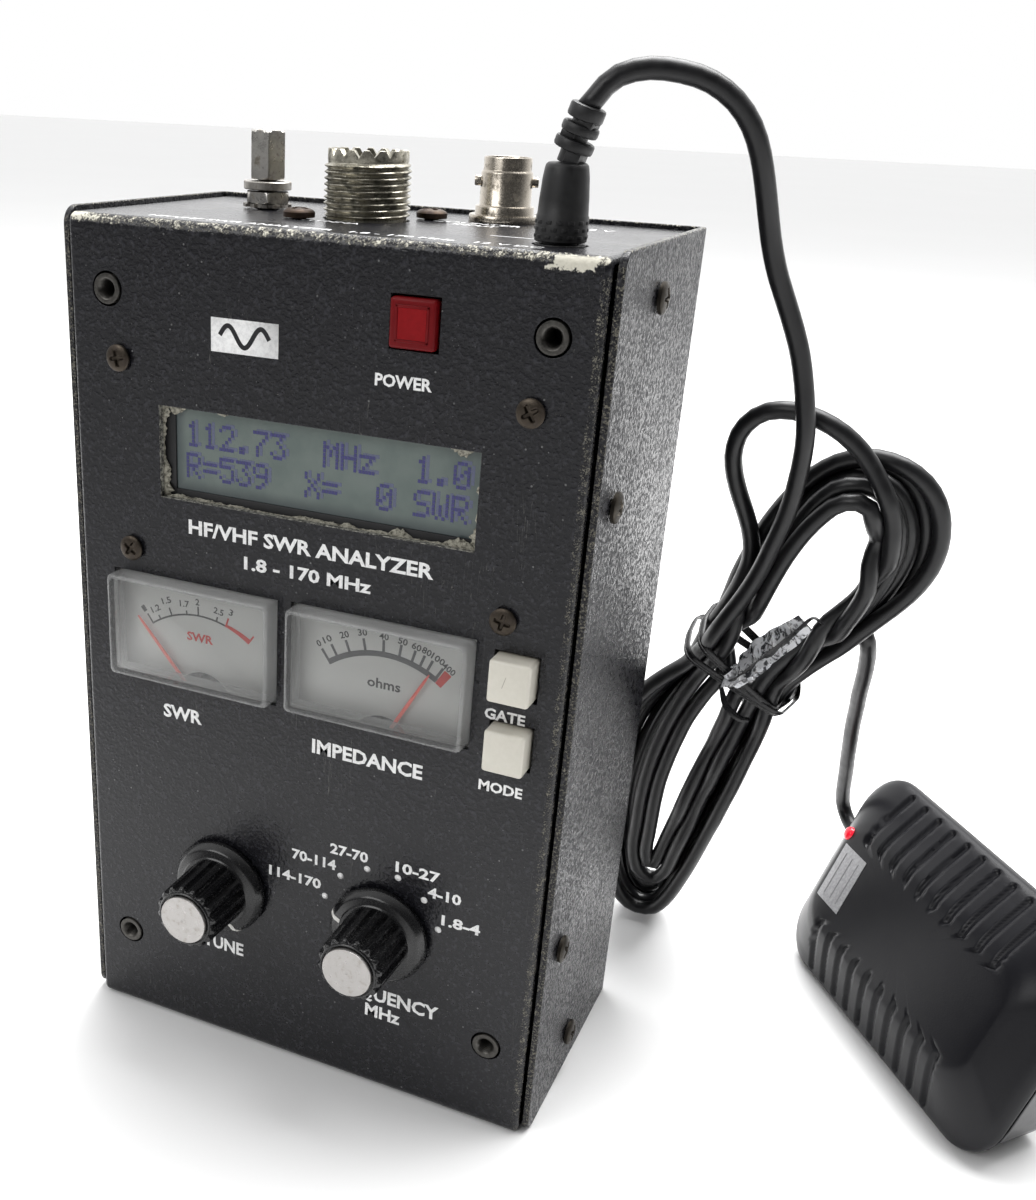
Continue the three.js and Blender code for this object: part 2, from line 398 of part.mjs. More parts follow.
// ---------------------------------------------------------------- connectors on the top plate
{
  // SO-239: square flange under the plate, threaded barrel with a toothed rim above it
  let s = plateXZ(-12.7, 12.7, -12.7, 12.7, 0, 1.6, 1.5, 0, 3);
  s = transform(s, new THREE.Matrix4().makeRotationX(Math.PI / 2));                 // flange now flat, z 0..1.6
  const zF = TOP_Z - SHEET - GAP - 1.6;
  s = transform(s, new THREE.Matrix4().makeTranslation(0, 0, zF));
  const top = TOP_Z + 11.9;
  const prof = [[0, zF], [7.3, zF], [7.3, TOP_Z + 0.3]];
  const turns = 5;
  for (let i = 0; i < turns; i++) {
    const z = TOP_Z + 0.6 + i * 1.9;
    prof.push([7.3, z], [7.94, z + 0.6], [7.94, z + 1.1], [7.3, z + 1.7]);
  }
  prof.push([7.3, TOP_Z + 10.4], [7.3, top], [0, top]);
  let barrel = lathe(prof, 28);
  barrel = barrel.subtract(cyl('z', 0, 0, TOP_Z - 0.5, top + 1, 6.1, 6.1, 32));     // socket bore
  for (let i = 0; i < 12; i++) {
    const a = 2 * Math.PI * i / 12;
    const notch = transform(box(5, 9, -0.65, 0.65, top - 1.1, top + 1), new THREE.Matrix4().makeRotationZ(a));
    barrel = barrel.subtract(notch);
  }
  s = s.add(barrel);
  s = s.subtract(cyl('z', 0, 0, zF - 1, TOP_Z + 1, 4.1, 4.1, 24));
  for (const k of [-1, 1]) s = s.subtract(cyl('z', k * 9.14, k * 9.14, zF - 1, zF + 3, 1.75, 1.75, 16));
  s = transform(s, new THREE.Matrix4().makeTranslation(SO239.x, SO239.y, 0));
  add('so239_shell', s, MAT.nickel());
  // insulator with the hollow centre contact
  let c = cyl('z', SO239.x, SO239.y, zF - 9, TOP_Z + 1.2, 3.75, 3.75, 24).add(cyl('z', SO239.x, SO239.y, TOP_Z - 0.1, TOP_Z + 2.2, 5.6, 5.2, 32))
    .add(cyl('z', SO239.x, SO239.y, TOP_Z + 2, TOP_Z + 9.2, 2.9, 2.9, 24)).subtract(cyl('z', SO239.x, SO239.y, TOP_Z + 1, TOP_Z + 10, 2.0, 2.0, 20));
  add('so239_contact', c, MAT.white());
  for (const k of [-1, 1]) add(`so239_screw_${k < 0 ? 1 : 2}`,
    transform(panScrew(2.9, 1.7, 1.4, 5), along([0, 0, 1], [SO239.x + k * 9.14, SO239.y + k * 9.14, TOP_Z], 0.5 * k)), MAT.darkSteel());
}
{
  // BNC jack with two bayonet lugs
  const z = TOP_Z;
  let s = lathe([[0, z - 9], [4.2, z - 9], [4.2, z + GAP], [6.6, z + GAP], [6.6, z + 1.3], [5.5, z + 1.5], [5.5, z + 2.8], [4.8, z + 3.0], [4.8, z + 8.6], [4.45, z + 8.9], [4.45, z + 11.3], [0, z + 11.3]], 32);
  s = s.add(cyl('x', 0, z + 7.1, -5.9, 5.9, 0.95, 0.95, 14));
  s = s.subtract(cyl('z', 0, 0, z - 1, z + 12, 4.05, 4.05, 28)).subtract(cyl('z', 0, 0, z - 10, z, 2.6, 2.6, 20));
  s = transform(s, new THREE.Matrix4().makeRotationZ(M.degToRad(20)));
  s = transform(s, new THREE.Matrix4().makeTranslation(BNC.x, BNC.y, 0));
  add('bnc_jack', s, MAT.nickel());
  let c = cyl('z', BNC.x, BNC.y, z - 8.5, z + 5.6, 2.3, 2.3, 20).add(cyl('z', BNC.x, BNC.y, z - 0.6, z + 3.4, 3.75, 3.75, 24)).subtract(cyl('z', BNC.x, BNC.y, z + 3.8, z + 6, 0.7, 0.7, 12));
  add('bnc_insulator', c, MAT.white());
}
{
  // ground post: stud through the plate, star washer and nut, plain washer, hexagonal post
  const z = TOP_Z;
  add('ground_post', cyl('z', POST.x, POST.y, z - 6, z + 6, 1.95, 1.95, 20).add(cyl('z', POST.x, POST.y, z + 5.35, z + 14.1, hexR(6.35), hexR(6.35), 6)), MAT.steel());
  let nut = cyl('z', POST.x, POST.y, z + GAP, z + 0.95, 4.7, 4.7, 24).add(cyl('z', POST.x, POST.y, z + 0.9, z + 3.2, hexR(7.9), hexR(7.9), 6)).subtract(cyl('z', POST.x, POST.y, z, z + 4, 2.3, 2.3, 20));
  add('ground_nut', nut, MAT.steel());
  add('ground_washer', cyl('z', POST.x, POST.y, z + 3.5, z + 5.0, 4.6, 4.6, 28).subtract(cyl('z', POST.x, POST.y, z + 3, z + 6, 2.3, 2.3, 20)), MAT.steel());
}
{
  // DC inlet: threaded bush through the plate with its body below
  const z = TOP_Z;
  let j = cyl('z', DCIN.x, DCIN.y, z - 12, z + 0.15, 4.2, 4.2, 24).add(box(DCIN.x - 4.5, DCIN.x + 4.5, DCIN.y - 4.5, DCIN.y + 4.5, z - 13, z - SHEET - 0.6));
  j = j.subtract(cyl('z', DCIN.x, DCIN.y, z - 11, z + 1, 3.1, 3.1, 20));
  add('dc_inlet', j, MAT.blackPlastic());
}

// ---------------------------------------------------------------- supply lead
{
  // plug body, ribbed at its foot
  const z = TOP_Z + 0.5, prof = [[0, z - 10], [2.75, z - 10], [2.75, z], [4.35, z]];
  for (let i = 0; i < 3; i++) prof.push([4.35, z + 0.6 + i * 1.1], [4.0, z + 0.65 + i * 1.1], [4.0, z + 0.95 + i * 1.1], [4.35, z + 1.0 + i * 1.1]);
  prof.push([4.1, z + 3.5], [4.0, z + 7.5], [3.6, z + 11.2], [2.9, z + 11.9], [0, z + 11.9]);
  add('dc_plug', transform(lathe(prof, 20), new THREE.Matrix4().makeTranslation(DCIN.x, DCIN.y, 0)), MAT.blackPlastic());
}
const LEAD = [
  [40.57, -16.2, 190.53], [41.4, -15.83, 191.97], [42.65, -15.31, 193.55], [44.64, -14.62, 194.87], [47.12, -13.78, 195.65], [49.92, -12.78, 195.89],
  [53.03, -11.58, 195.59], [56.19, -10.22, 194.75], [59.29, -8.67, 193.07], [62.23, -6.79, 190.25], [64.41, -4.66, 186.34], [65.84, -2.13, 181.25],
  [66.93, 0.71, 175.18], [68.46, 3.69, 168.41], [71.3, 6.79, 160.8], [73.86, 9.11, 154.14], [75.74, 10.98, 147.24], [77.07, 12.38, 140.15],
];
{
  // strain relief: tapered, with three ribs, leaning towards the lead
  const a = new THREE.Vector3(DCIN.x + 0.25, DCIN.y, TOP_Z + 13.3), b = new THREE.Vector3(...LEAD[0]);
  const d = b.clone().sub(a), L = d.length() - 0.75;
  const prof = [[0, 0], [1.9, 0]];
  for (const [h, r, t] of [[0.1, 3.25, 1.6], [0.42, 3.05, 1.6], [0.72, 2.95, 1.8]]) { const z = h * L; prof.push([1.9, z], [r, z], [r, z + t], [1.9, z + t]); }
  prof.push([1.8, L], [0, L]);
  const q = new THREE.Matrix4().makeRotationFromQuaternion(new THREE.Quaternion().setFromUnitVectors(new THREE.Vector3(0, 0, 1), d.normalize()));
  q.setPosition(a);
  add('strain_relief', transform(lathe(prof, 16), q), MAT.blackPlastic());
}
// bundle of the folded lead: outline in its own leaning plane, tied at its waist
const PLANE_W = new THREE.Vector3(0, -1, -0.33).normalize();
const PLANE_U = new THREE.Vector3(1, 0, 0);
const PLANE_V = new THREE.Vector3().crossVectors(PLANE_W, PLANE_U);
const PLANE_O = new THREE.Vector3(0, 66, 0);
const HANK_OUTLINE = [
  [59.9, 93.6], [62.0, 104.3], [64.6, 113.4], [64.0, 122.9], [62.0, 131.7], [61.8, 139.4], [64.5, 146.4], [70.1, 149.6], [77.2, 150.0], [83.6, 148.0],
  [89.8, 146.1], [96.7, 144.7], [103.0, 140.0], [107.3, 130.7], [108.0, 119.7], [104.3, 109.5], [98.1, 100.1], [90.2, 90.7], [83.2, 82.6], [79.6, 77.0],
  [77.0, 64.1], [73.1, 45.6], [68.5, 26.7], [62.8, 10.5], [56.1, 4.4], [47.8, 3.7], [40.7, 7.5], [37.4, 17.3], [35.9, 34.9], [36.7, 53.8], [41.7, 69.5], [49.6, 80.0], [55.4, 85.6],
];
const HANK_HALF = 10;
const planeMatrix = () => { const m = new THREE.Matrix4().makeBasis(PLANE_U, PLANE_V, PLANE_W); m.setPosition(PLANE_O); return m; };
function hank(grow, half) {
  const c = new THREE.Vector2();
  for (const [x, y] of HANK_OUTLINE) c.add(new THREE.Vector2(x, y).multiplyScalar(1 / HANK_OUTLINE.length));
  const pts = HANK_OUTLINE.map(p => new THREE.Vector2(...p));
  const n = pts.length, s = new THREE.Shape();
  pts.forEach((p, i) => {
    const a = pts[(i + n - 1) % n], b = pts[(i + 1) % n], t = b.clone().sub(a).normalize();
    const q = new THREE.Vector2(p.x - t.y * grow, p.y + t.x * grow);       // outline runs clockwise
    if (i === 0) s.moveTo(q.x, q.y); else s.lineTo(q.x, q.y);
  });
  s.closePath();
  const g = new THREE.ExtrudeGeometry(s, { depth: 2 * half, bevelEnabled: false });
  g.translate(0, 0, -half);
  g.applyMatrix4(planeMatrix());
  return toSolid(g);
}
const LEAD_IN = [[77.12, 14.94, 132.4], [76.05, 18.02, 123.06]];
const TAIL = [
  [98.58, 78.49, 28.91], [96.53, 81.32, 29.21], [93.89, 84.46, 31.51], [92.84, 83.5, 36.1], [92.55, 77.0, 46.23], [92.49, 69.0, 57.18], [92.74, 60.0, 69.09],
  [93.28, 51.0, 79.94], [93.42, 44.0, 88.96], [91.78, 40.5, 94.71],
];
{
  const keep = hank(0.35, HANK_HALF + 0.35);
  add('cord_lead', tube([...LEAD, ...LEAD_IN], CORD_R, CORD_SIDES, 40).subtract(keep), MAT.cordPvc());
  add('cord_hank', hank(0, HANK_HALF), MAT.cordPvc());
  add('cord_tail', tube(TAIL, CORD_R, CORD_SIDES, 20).subtract(keep), MAT.cordPvc());


}

// ---------------------------------------------------------------- adapter
{
  const A = ADAPTER, th = ADAPTER_LEAN;
  const a = new THREE.Vector3(Math.cos(ADAPTER_HEADING), Math.sin(ADAPTER_HEADING), 0);
  const h = new THREE.Vector3(Math.sin(ADAPTER_HEADING), -Math.cos(ADAPTER_HEADING), 0);
  const nrm = h.clone().multiplyScalar(Math.cos(th)).add(new THREE.Vector3(0, 0, Math.sin(th)));
  const b = new THREE.Vector3(0, 0, Math.cos(th)).sub(h.clone().multiplyScalar(Math.sin(th)));
  const m = new THREE.Matrix4().makeBasis(a, b, nrm);
  m.setPosition(A.cx, A.cy, A.seamH / 2 * Math.cos(th) + 0.02);
  const ring = (l, hh, r, z) => roundRectShape(l, hh, r).getPoints(6).slice(0, -1).map(p => new THREE.Vector3(p.x, p.y, z));
  const unique = pts => pts.filter((p, i) => i === 0 || p.distanceTo(pts[i - 1]) > 1e-6);
  const front = loft([
    unique(ring(A.length, A.seamH, A.r, 0.15)), unique(ring(A.length - 0.6, A.seamH - 0.6, A.r, 1.6)), unique(ring(A.length - 5.5, A.seamH - 7.5, A.r - 0.5, 4.2)),
    unique(ring(A.faceL + 4, A.faceH + 6, A.r - 2.5, A.frontD - 1.6)), unique(ring(A.faceL, A.faceH, A.r - 3, A.frontD)),
  ]);
  add('adapter_front', transform(front, m), MAT.blackPlastic());
  const k = A.baseD * Math.tan(th);
  let base = loft([
    unique(ring(A.length - 2 * k, A.seamH - 2 * k, A.r - 3, -A.baseD)), unique(ring(A.length - 0.25, A.seamH - 0.25, A.r, -0.15)),
  ]);
  base = transform(base, m);
  const pm = s => { const bx = new THREE.BoxGeometry(1.5, 6.35, 15.5); bx.translate(s * 6.35 - 12, 0, -A.baseD - 8.1); bx.applyMatrix4(m); return toSolid(bx); };
  add('adapter_base', base, MAT.blackPlastic());
  add('adapter_prong_1', pm(-1), MAT.brass());
  add('adapter_prong_2', pm(1), MAT.brass());
}

export default group;
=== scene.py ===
# Handheld antenna (SWR) analyzer with its supply lead and plug-in adapter: the looks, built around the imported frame.
import bpy
import bmesh
import math
import random
from mathutils import Matrix, Vector


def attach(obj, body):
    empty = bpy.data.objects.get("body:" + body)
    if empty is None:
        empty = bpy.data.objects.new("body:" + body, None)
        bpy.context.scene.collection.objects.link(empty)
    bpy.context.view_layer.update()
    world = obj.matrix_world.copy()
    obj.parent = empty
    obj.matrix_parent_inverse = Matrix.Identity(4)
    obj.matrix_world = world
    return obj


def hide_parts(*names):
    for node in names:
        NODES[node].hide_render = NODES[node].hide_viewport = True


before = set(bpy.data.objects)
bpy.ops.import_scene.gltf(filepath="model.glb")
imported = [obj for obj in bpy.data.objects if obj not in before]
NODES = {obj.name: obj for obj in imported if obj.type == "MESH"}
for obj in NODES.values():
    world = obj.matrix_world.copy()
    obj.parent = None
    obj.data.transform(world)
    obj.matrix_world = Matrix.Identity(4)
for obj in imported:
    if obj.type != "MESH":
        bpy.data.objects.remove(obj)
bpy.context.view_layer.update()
SCENE = bpy.context.scene
MM = 0.001
random.seed(7)

# ------------------------------------------------------------------ dimensions (mm)
FRONT_Y, BACK_Y, TOP_Z, HEIGHT, HALF = -28.5, 28.5, 169.7, 170.5, 52.0
PANEL_HALF = 50.15
METERS = {
    "swr": dict(x0=-42.4, x1=-6.6, z0=82.8, z1=103.7, px=-24.7, pz=78.0, ang=131.8, ln=21.4),
    "impedance": dict(x0=-3.0, x1=33.1, z0=83.3, z1=104.0, px=14.7, pz=78.0, ang=60.7, ln=19.3),
}
LCD_Y = FRONT_Y + 2.5
DIAL_Y = FRONT_Y + 3.2
NEEDLE_Y = FRONT_Y + 2.1
SO239, BNC, POST, DCIN = (-4.5, 0.5), (16.4, 16.5), (-28.2, 5.8), (37.9, -16.2)
KNOB_Z = 38.6
CORD_R = 1.7

# ------------------------------------------------------------------ camera
CAM_AT = (0.10585370, -0.23483755, 0.19128843)
CAM_M = ((0.8991835829, 0.4361207697, 0.0356027878), (0.2083849418, -0.3552534137, -0.9112467987), (-0.3847656433, 0.8267972462, -0.4103190386))
cam = bpy.data.objects.new("camera", bpy.data.cameras.new("camera"))
SCENE.collection.objects.link(cam)
rows = [Vector(CAM_M[0]), -Vector(CAM_M[1]), -Vector(CAM_M[2])]
m = Matrix.Identity(4)
for c in range(3):
    for r in range(3):
        m[r][c] = rows[c][r]
m.translation = Vector(CAM_AT)
cam.matrix_world = m
cam.data.sensor_width, cam.data.lens = 36, 40.1964
cam.data.shift_x, cam.data.shift_y = 0.1383, 0.0772
cam.data.clip_start, cam.data.clip_end = 0.01, 50
SCENE.camera = cam
SCENE.view_settings.view_transform = "Standard"
SCENE.view_settings.look = "None"
SCENE.view_settings.exposure = 0.0
SCENE.view_settings.gamma = 1.0


# ------------------------------------------------------------------ materials
class Mat:
    """A node material under construction. Coordinates are the piece's own, in millimetres."""

    def __init__(self, name, color=(0.5, 0.5, 0.5), rough=0.5, metal=0.0, spec=0.5, ior=1.5, coat=0.0, coat_rough=0.1, sheen=0.0):
        self.m = bpy.data.materials.new(name)
        self.m.use_nodes = True
        self.t = self.m.node_tree
        self.t.nodes.clear()
        self.out = self.t.nodes.new("ShaderNodeOutputMaterial")
        self.p = self.t.nodes.new("ShaderNodeBsdfPrincipled")
        self.link(self.p.outputs[0], self.out.inputs[0])
        self.set("Base Color", (*color, 1))
        self.set("Roughness", rough)
        self.set("Metallic", metal)
        self.set("Specular IOR Level", spec)
        self.set("IOR", ior)
        self.set("Coat Weight", coat)
        self.set("Coat Roughness", coat_rough)
        self.set("Sheen Weight", sheen)
        tc = self.t.nodes.new("ShaderNodeTexCoord")
        v = self.t.nodes.new("ShaderNodeVectorMath")
        v.operation = "SCALE"
        self.link(tc.outputs["Object"], v.inputs[0])
        v.inputs["Scale"].default_value = 1000.0
        self.mm = v.outputs[0]
        self._xyz = None

    def link(self, a, b):
        self.t.links.new(a, b)

    def put(self, sock, val):
        if isinstance(val, bpy.types.NodeSocket):
            self.link(val, sock)
        elif isinstance(val, (tuple, list)) and sock.type == "RGBA" and len(val) == 3:
            sock.default_value = (*val, 1)
        else:
            sock.default_value = val

    def set(self, name, val):
        self.put(self.p.inputs[name], val)

    @property
    def xyz(self):
        if self._xyz is None:
            s = self.t.nodes.new("ShaderNodeSeparateXYZ")
            self.link(self.mm, s.inputs[0])
            self._xyz = s.outputs
        return self._xyz

    def math(self, op, a, b=0.0, c=None, clamp=False):
        n = self.t.nodes.new("ShaderNodeMath")
        n.operation, n.use_clamp = op, clamp
        self.put(n.inputs[0], a)
        self.put(n.inputs[1], b)
        if c is not None:
            self.put(n.inputs[2], c)
        return n.outputs[0]

    def add(self, a, b): return self.math("ADD", a, b)
    def sub(self, a, b): return self.math("SUBTRACT", a, b)
    def mul(self, a, b): return self.math("MULTIPLY", a, b)
    def mx(self, a, b): return self.math("MAXIMUM", a, b)
    def mn(self, a, b): return self.math("MINIMUM", a, b)
    def absf(self, a): return self.math("ABSOLUTE", a)

    def rng(self, v, a, b, c=0.0, d=1.0, kind="SMOOTHSTEP"):
        n = self.t.nodes.new("ShaderNodeMapRange")
        n.interpolation_type, n.clamp = kind, True
        for i, x in enumerate((v, a, b, c, d)):
            self.put(n.inputs[i], x)
        return n.outputs[0]

    def vec(self, sx=1, sy=1, sz=1, ox=0, oy=0, oz=0, rot=None):
        n = self.t.nodes.new("ShaderNodeMapping")
        self.link(self.mm, n.inputs[0])
        n.inputs["Scale"].default_value = (sx, sy, sz)
        n.inputs["Location"].default_value = (ox, oy, oz)
        if rot:
            n.inputs["Rotation"].default_value = rot
        return n.outputs[0]

    def noise(self, scale, detail=2.0, rough=0.5, vec=None, dist=0.0):
        n = self.t.nodes.new("ShaderNodeTexNoise")
        self.link(vec or self.mm, n.inputs["Vector"])
        n.inputs["Scale"].default_value = scale
        n.inputs["Detail"].default_value = detail
        n.inputs["Roughness"].default_value = rough
        n.inputs["Distortion"].default_value = dist
        return n.outputs[0]

    def vor(self, scale, vec=None, feature="F1", rand=1.0):
        n = self.t.nodes.new("ShaderNodeTexVoronoi")
        n.feature = feature
        self.link(vec or self.mm, n.inputs["Vector"])
        n.inputs["Scale"].default_value = scale
        n.inputs["Randomness"].default_value = rand
        return n.outputs["Distance"]

    def mix(self, f, a, b):
        n = self.t.nodes.new("ShaderNodeMix")
        n.data_type = "RGBA"
        self.put(n.inputs[0], f)
        self.put(n.inputs[6], a)
        self.put(n.inputs[7], b)
        return n.outputs[2]

    def bump(self, h, dist_mm, normal=None, strength=1.0):
        n = self.t.nodes.new("ShaderNodeBump")
        n.inputs["Strength"].default_value = strength
        n.inputs["Distance"].default_value = dist_mm * MM
        self.put(n.inputs["Height"], h)
        if normal is not None:
            self.link(normal, n.inputs["Normal"])
        return n.outputs[0]

    def finish(self, color=None, rough=None, metal=None, normal=None, coat=None):
        if color is not None: self.set("Base Color", color)
        if rough is not None: self.set("Roughness", rough)
        if metal is not None: self.set("Metallic", metal)
        if normal is not None: self.set("Normal", normal)
        return self.m


def speckle(q, scale, size, vec=None):
    """Sparse round specks, 1 inside."""
    return q.rng(q.vor(scale, vec), size * 0.7, size, 1.0, 0.0)


def paint_material(name, which):
    """Black pebble powder coat with the wear of years, painted highlights on its pebble peaks and, on the cover,
    painted shade in its pinholes; 'which' says whose edges wear.
    """
    q = Mat(name, rough=0.34, spec=0.36 if which == "chassis" else 0.30, ior=1.5, coat=0.0)
    x, y, z = q.xyz
    fine = q.noise(1.7, 1.0, 0.5)
    mid = q.noise(0.9, 2.0, 0.55)
    broad = q.noise(0.035, 3.0, 0.6)
    peb = q.add(q.mul(fine, 0.8), q.mul(mid, 0.4))
    base = q.mix(broad, (0.0058, 0.0058, 0.0075), (0.0095, 0.0095, 0.012))
    # pebble peaks painted lighter: painted highlights on the grain of the coat
    base = q.mix(q.rng(peb, 0.60, 0.84), base, (0.024, 0.024, 0.029) if which == "chassis" else (0.036, 0.036, 0.041))
    # dust and small bright marks
    dust = q.mul(speckle(q, 0.42, 0.085), q.rng(q.noise(0.09, 2.0), 0.42, 0.6))
    dust = q.mx(dust, q.mul(speckle(q, 0.9, 0.07, q.vec(1, 1, 1, 31, 7, 3)), q.rng(q.noise(0.05, 1.0), 0.5, 0.62)))
    base = q.mix(q.mul(dust, 0.75), base, (0.17, 0.17, 0.17))
    # long thin scratches
    sc = q.noise(0.22, 2.0, 0.5, q.vec(3.5, 1, 0.16, 5, 0, 9, (0, 0.5, 0)))
    scr = q.mul(q.rng(q.absf(q.sub(sc, 0.5)), 0.0, 0.0035, 1.0, 0.0), q.rng(q.noise(0.07, 1.0, 0.5, q.vec(1, 1, 1, 70, 20, 0)), 0.6, 0.68))
    base = q.mix(q.mul(scr, 0.5), base, (0.16, 0.155, 0.145))
    grit = q.noise(2.4, 5.0, 0.68)
    grit2 = q.noise(0.75, 3.0, 0.6)
    beige, cream = (0.145, 0.135, 0.105), (0.66, 0.635, 0.53)
    if which == "chassis":
        # worn outer bend between front and top
        e = q.add(q.absf(q.sub(q.add(y, 28.5), 0.0)), q.absf(q.sub(TOP_Z, z)))
        near = q.mul(q.rng(e, 1.1, 2.5, 1.0, 0.0), q.rng(z, 160, 165))
        amt = q.add(q.mul(grit, 0.75), q.mul(grit2, 0.5))
        ends = q.rng(q.absf(x), 36, 49, 0.0, 0.10)
        k = q.add(q.sub(amt, 1.02), q.add(q.mul(near, 0.44), q.mul(ends, near)))
        w1 = q.mul(q.rng(k, 0.03, 0.10), q.rng(near, 0.02, 0.15))
        w2 = q.mul(q.rng(k, 0.10, 0.17), q.rng(near, 0.05, 0.3))
        # paint chipped off to the primer near the right end of the bend
        lump = q.noise(0.3, 3.0, 0.6)
        cx = q.add(x, q.mul(q.sub(lump, 0.5), 16.0))
        cz = q.add(q.add(z, q.mul(q.sub(lump, 0.5), 3.2)), q.mul(q.sub(grit, 0.5), 1.6))
        chip = q.mul(q.mul(q.rng(cx, 39.3, 40.0), q.rng(cx, 47.6, 48.4, 1.0, 0.0)), q.mul(q.rng(cz, 167.25, 167.5), q.rng(y, -28.0, -27.4, 1.0, 0.0)))
        chipl = q.mul(q.rng(q.add(x, q.mul(grit2, 3.0)), -46.5, -45.5, 1.0, 0.0), q.mul(q.rng(cz, 168.3, 168.7), q.rng(y, -28.2, -26.6, 1.0, 0.0)))
        w2 = q.mx(w2, q.mx(chip, chipl))
        w1 = q.mx(w1, w2)
        # speckled wear along the panel's side bends
        yz = q.mul(q.rng(y, -27.6, -26.4, 1.0, 0.0), q.rng(z, 166.5, 168.0, 1.0, 0.0))
        side = q.mul(q.rng(x, 47.9, 49.0), yz)
        sidel = q.mul(q.mul(q.rng(x, -49.35, -49.9), yz), 0.75)
        s = q.mx(side, sidel)
        ks = q.add(q.sub(q.add(q.mul(q.noise(3.2, 4.0, 0.7), 0.8), q.mul(grit2, 0.35)), 0.835), q.mul(s, 0.27))
        w1 = q.mx(w1, q.mul(q.rng(ks, 0.03, 0.13), q.rng(s, 0.05, 0.4)))
        # bottom bend
        eb = q.add(q.add(y, 28.5), z)
        nb = q.mul(q.rng(eb, 0.5, 1.5, 1.0, 0.0), q.rng(z, 2, 1, 0, 1))
        w1 = q.mx(w1, q.mul(q.rng(q.add(q.mul(nb, 0.3), q.sub(grit, 0.66)), 0.02, 0.1), 0.8))
    else:
        # worn raw edges of the cover sheet
        ey = q.rng(y, -26.9, -26.3, 1.0, 0.0)
        ez = q.mx(q.rng(z, 169.9, 170.35), q.rng(z, 0.9, 0.4))
        eb = q.mul(q.rng(q.absf(x), 51.2, 51.9), q.rng(y, 27.2, 28.2))
        e = q.mx(ey, q.mx(ez, q.mul(eb, 0.8)))
        k = q.add(q.sub(grit, 0.74), q.mul(e, 0.25))
        w1 = q.mul(q.rng(k, 0.02, 0.12), q.rng(e, 0.05, 0.4))
        w2 = q.mul(q.mul(q.rng(k, 0.08, 0.14), ez), 0.8)
        # pinholes and chips in the coat of the sides, painted darker than the coat as painted shade in them; they are
        # rougher too
        shaded_pits = q.mul(speckle(q, 0.42, 0.12, q.vec(1, 1.0, 0.75, 3, 9, 2)), q.rng(q.add(q.noise(0.03, 1.0), q.rng(z, 110, 170, -0.1, 0.12)), 0.5, 0.6))
        base = q.mix(shaded_pits, base, (0.004, 0.004, 0.005))
    col = q.mix(w1, base, q.mix(grit2, (0.085, 0.08, 0.065), (0.24, 0.225, 0.18)))
    col = q.mix(w2, col, q.mix(grit, (0.50, 0.475, 0.385), (0.78, 0.755, 0.66)))
    rough = q.add(q.rng(broad, 0.3, 0.7, 0.21, 0.28), q.mul(q.mx(w1, dust), 0.3))
    if which != "chassis":
        rough = q.add(q.add(rough, q.mul(shaded_pits, 0.5)), q.rng(peb, 0.50, 0.72, -0.04, 0.34))
    n = q.bump(peb, 0.12 if which == "chassis" else 0.20)
    n = q.bump(w1, -0.05, n, 0.7)
    return q.finish(col, rough, None, n)


def plastic(name, a, b, rough=0.4, bump=0.01, scale=1.2, spec=0.5, coat=0.0, grain=6.0):
    q = Mat(name, spec=spec, coat=coat)
    n1 = q.noise(scale, 3.0, 0.6)
    n2 = q.noise(0.06, 2.0, 0.6)
    col = q.mix(q.rng(q.add(q.mul(n1, 0.5), q.mul(n2, 0.5)), 0.35, 0.65), a, b)
    nn = q.bump(q.add(q.noise(grain, 2.0), q.mul(n1, 0.6)), bump)
    return q.finish(col, q.rng(n1, 0.3, 0.7, rough - 0.05, rough + 0.06), None, nn)


def metal(name, a, b, rough=0.3, grime=(0.05, 0.045, 0.03), grime_amt=0.5, scale=0.6, bump=0.006, streak=None):
    q = Mat(name, metal=1.0)
    n1 = q.noise(scale, 4.0, 0.65)
    n2 = q.noise(scale * 5, 3.0, 0.6)
    col = q.mix(n2, a, b)
    g = q.mul(q.rng(n1, 0.52, 0.72), grime_amt)
    col = q.mix(g, col, grime)
    h = n2
    if streak:
        h = q.add(q.mul(n2, 0.4), q.noise(streak[0], 2.0, 0.5, q.vec(*streak[1])))
    return q.finish(col, q.add(q.rng(n1, 0.3, 0.7, rough - 0.05, rough + 0.1), q.mul(g, 0.3)), q.rng(g, 0.2, 0.7, 1.0, 0.55), q.bump(h, bump))


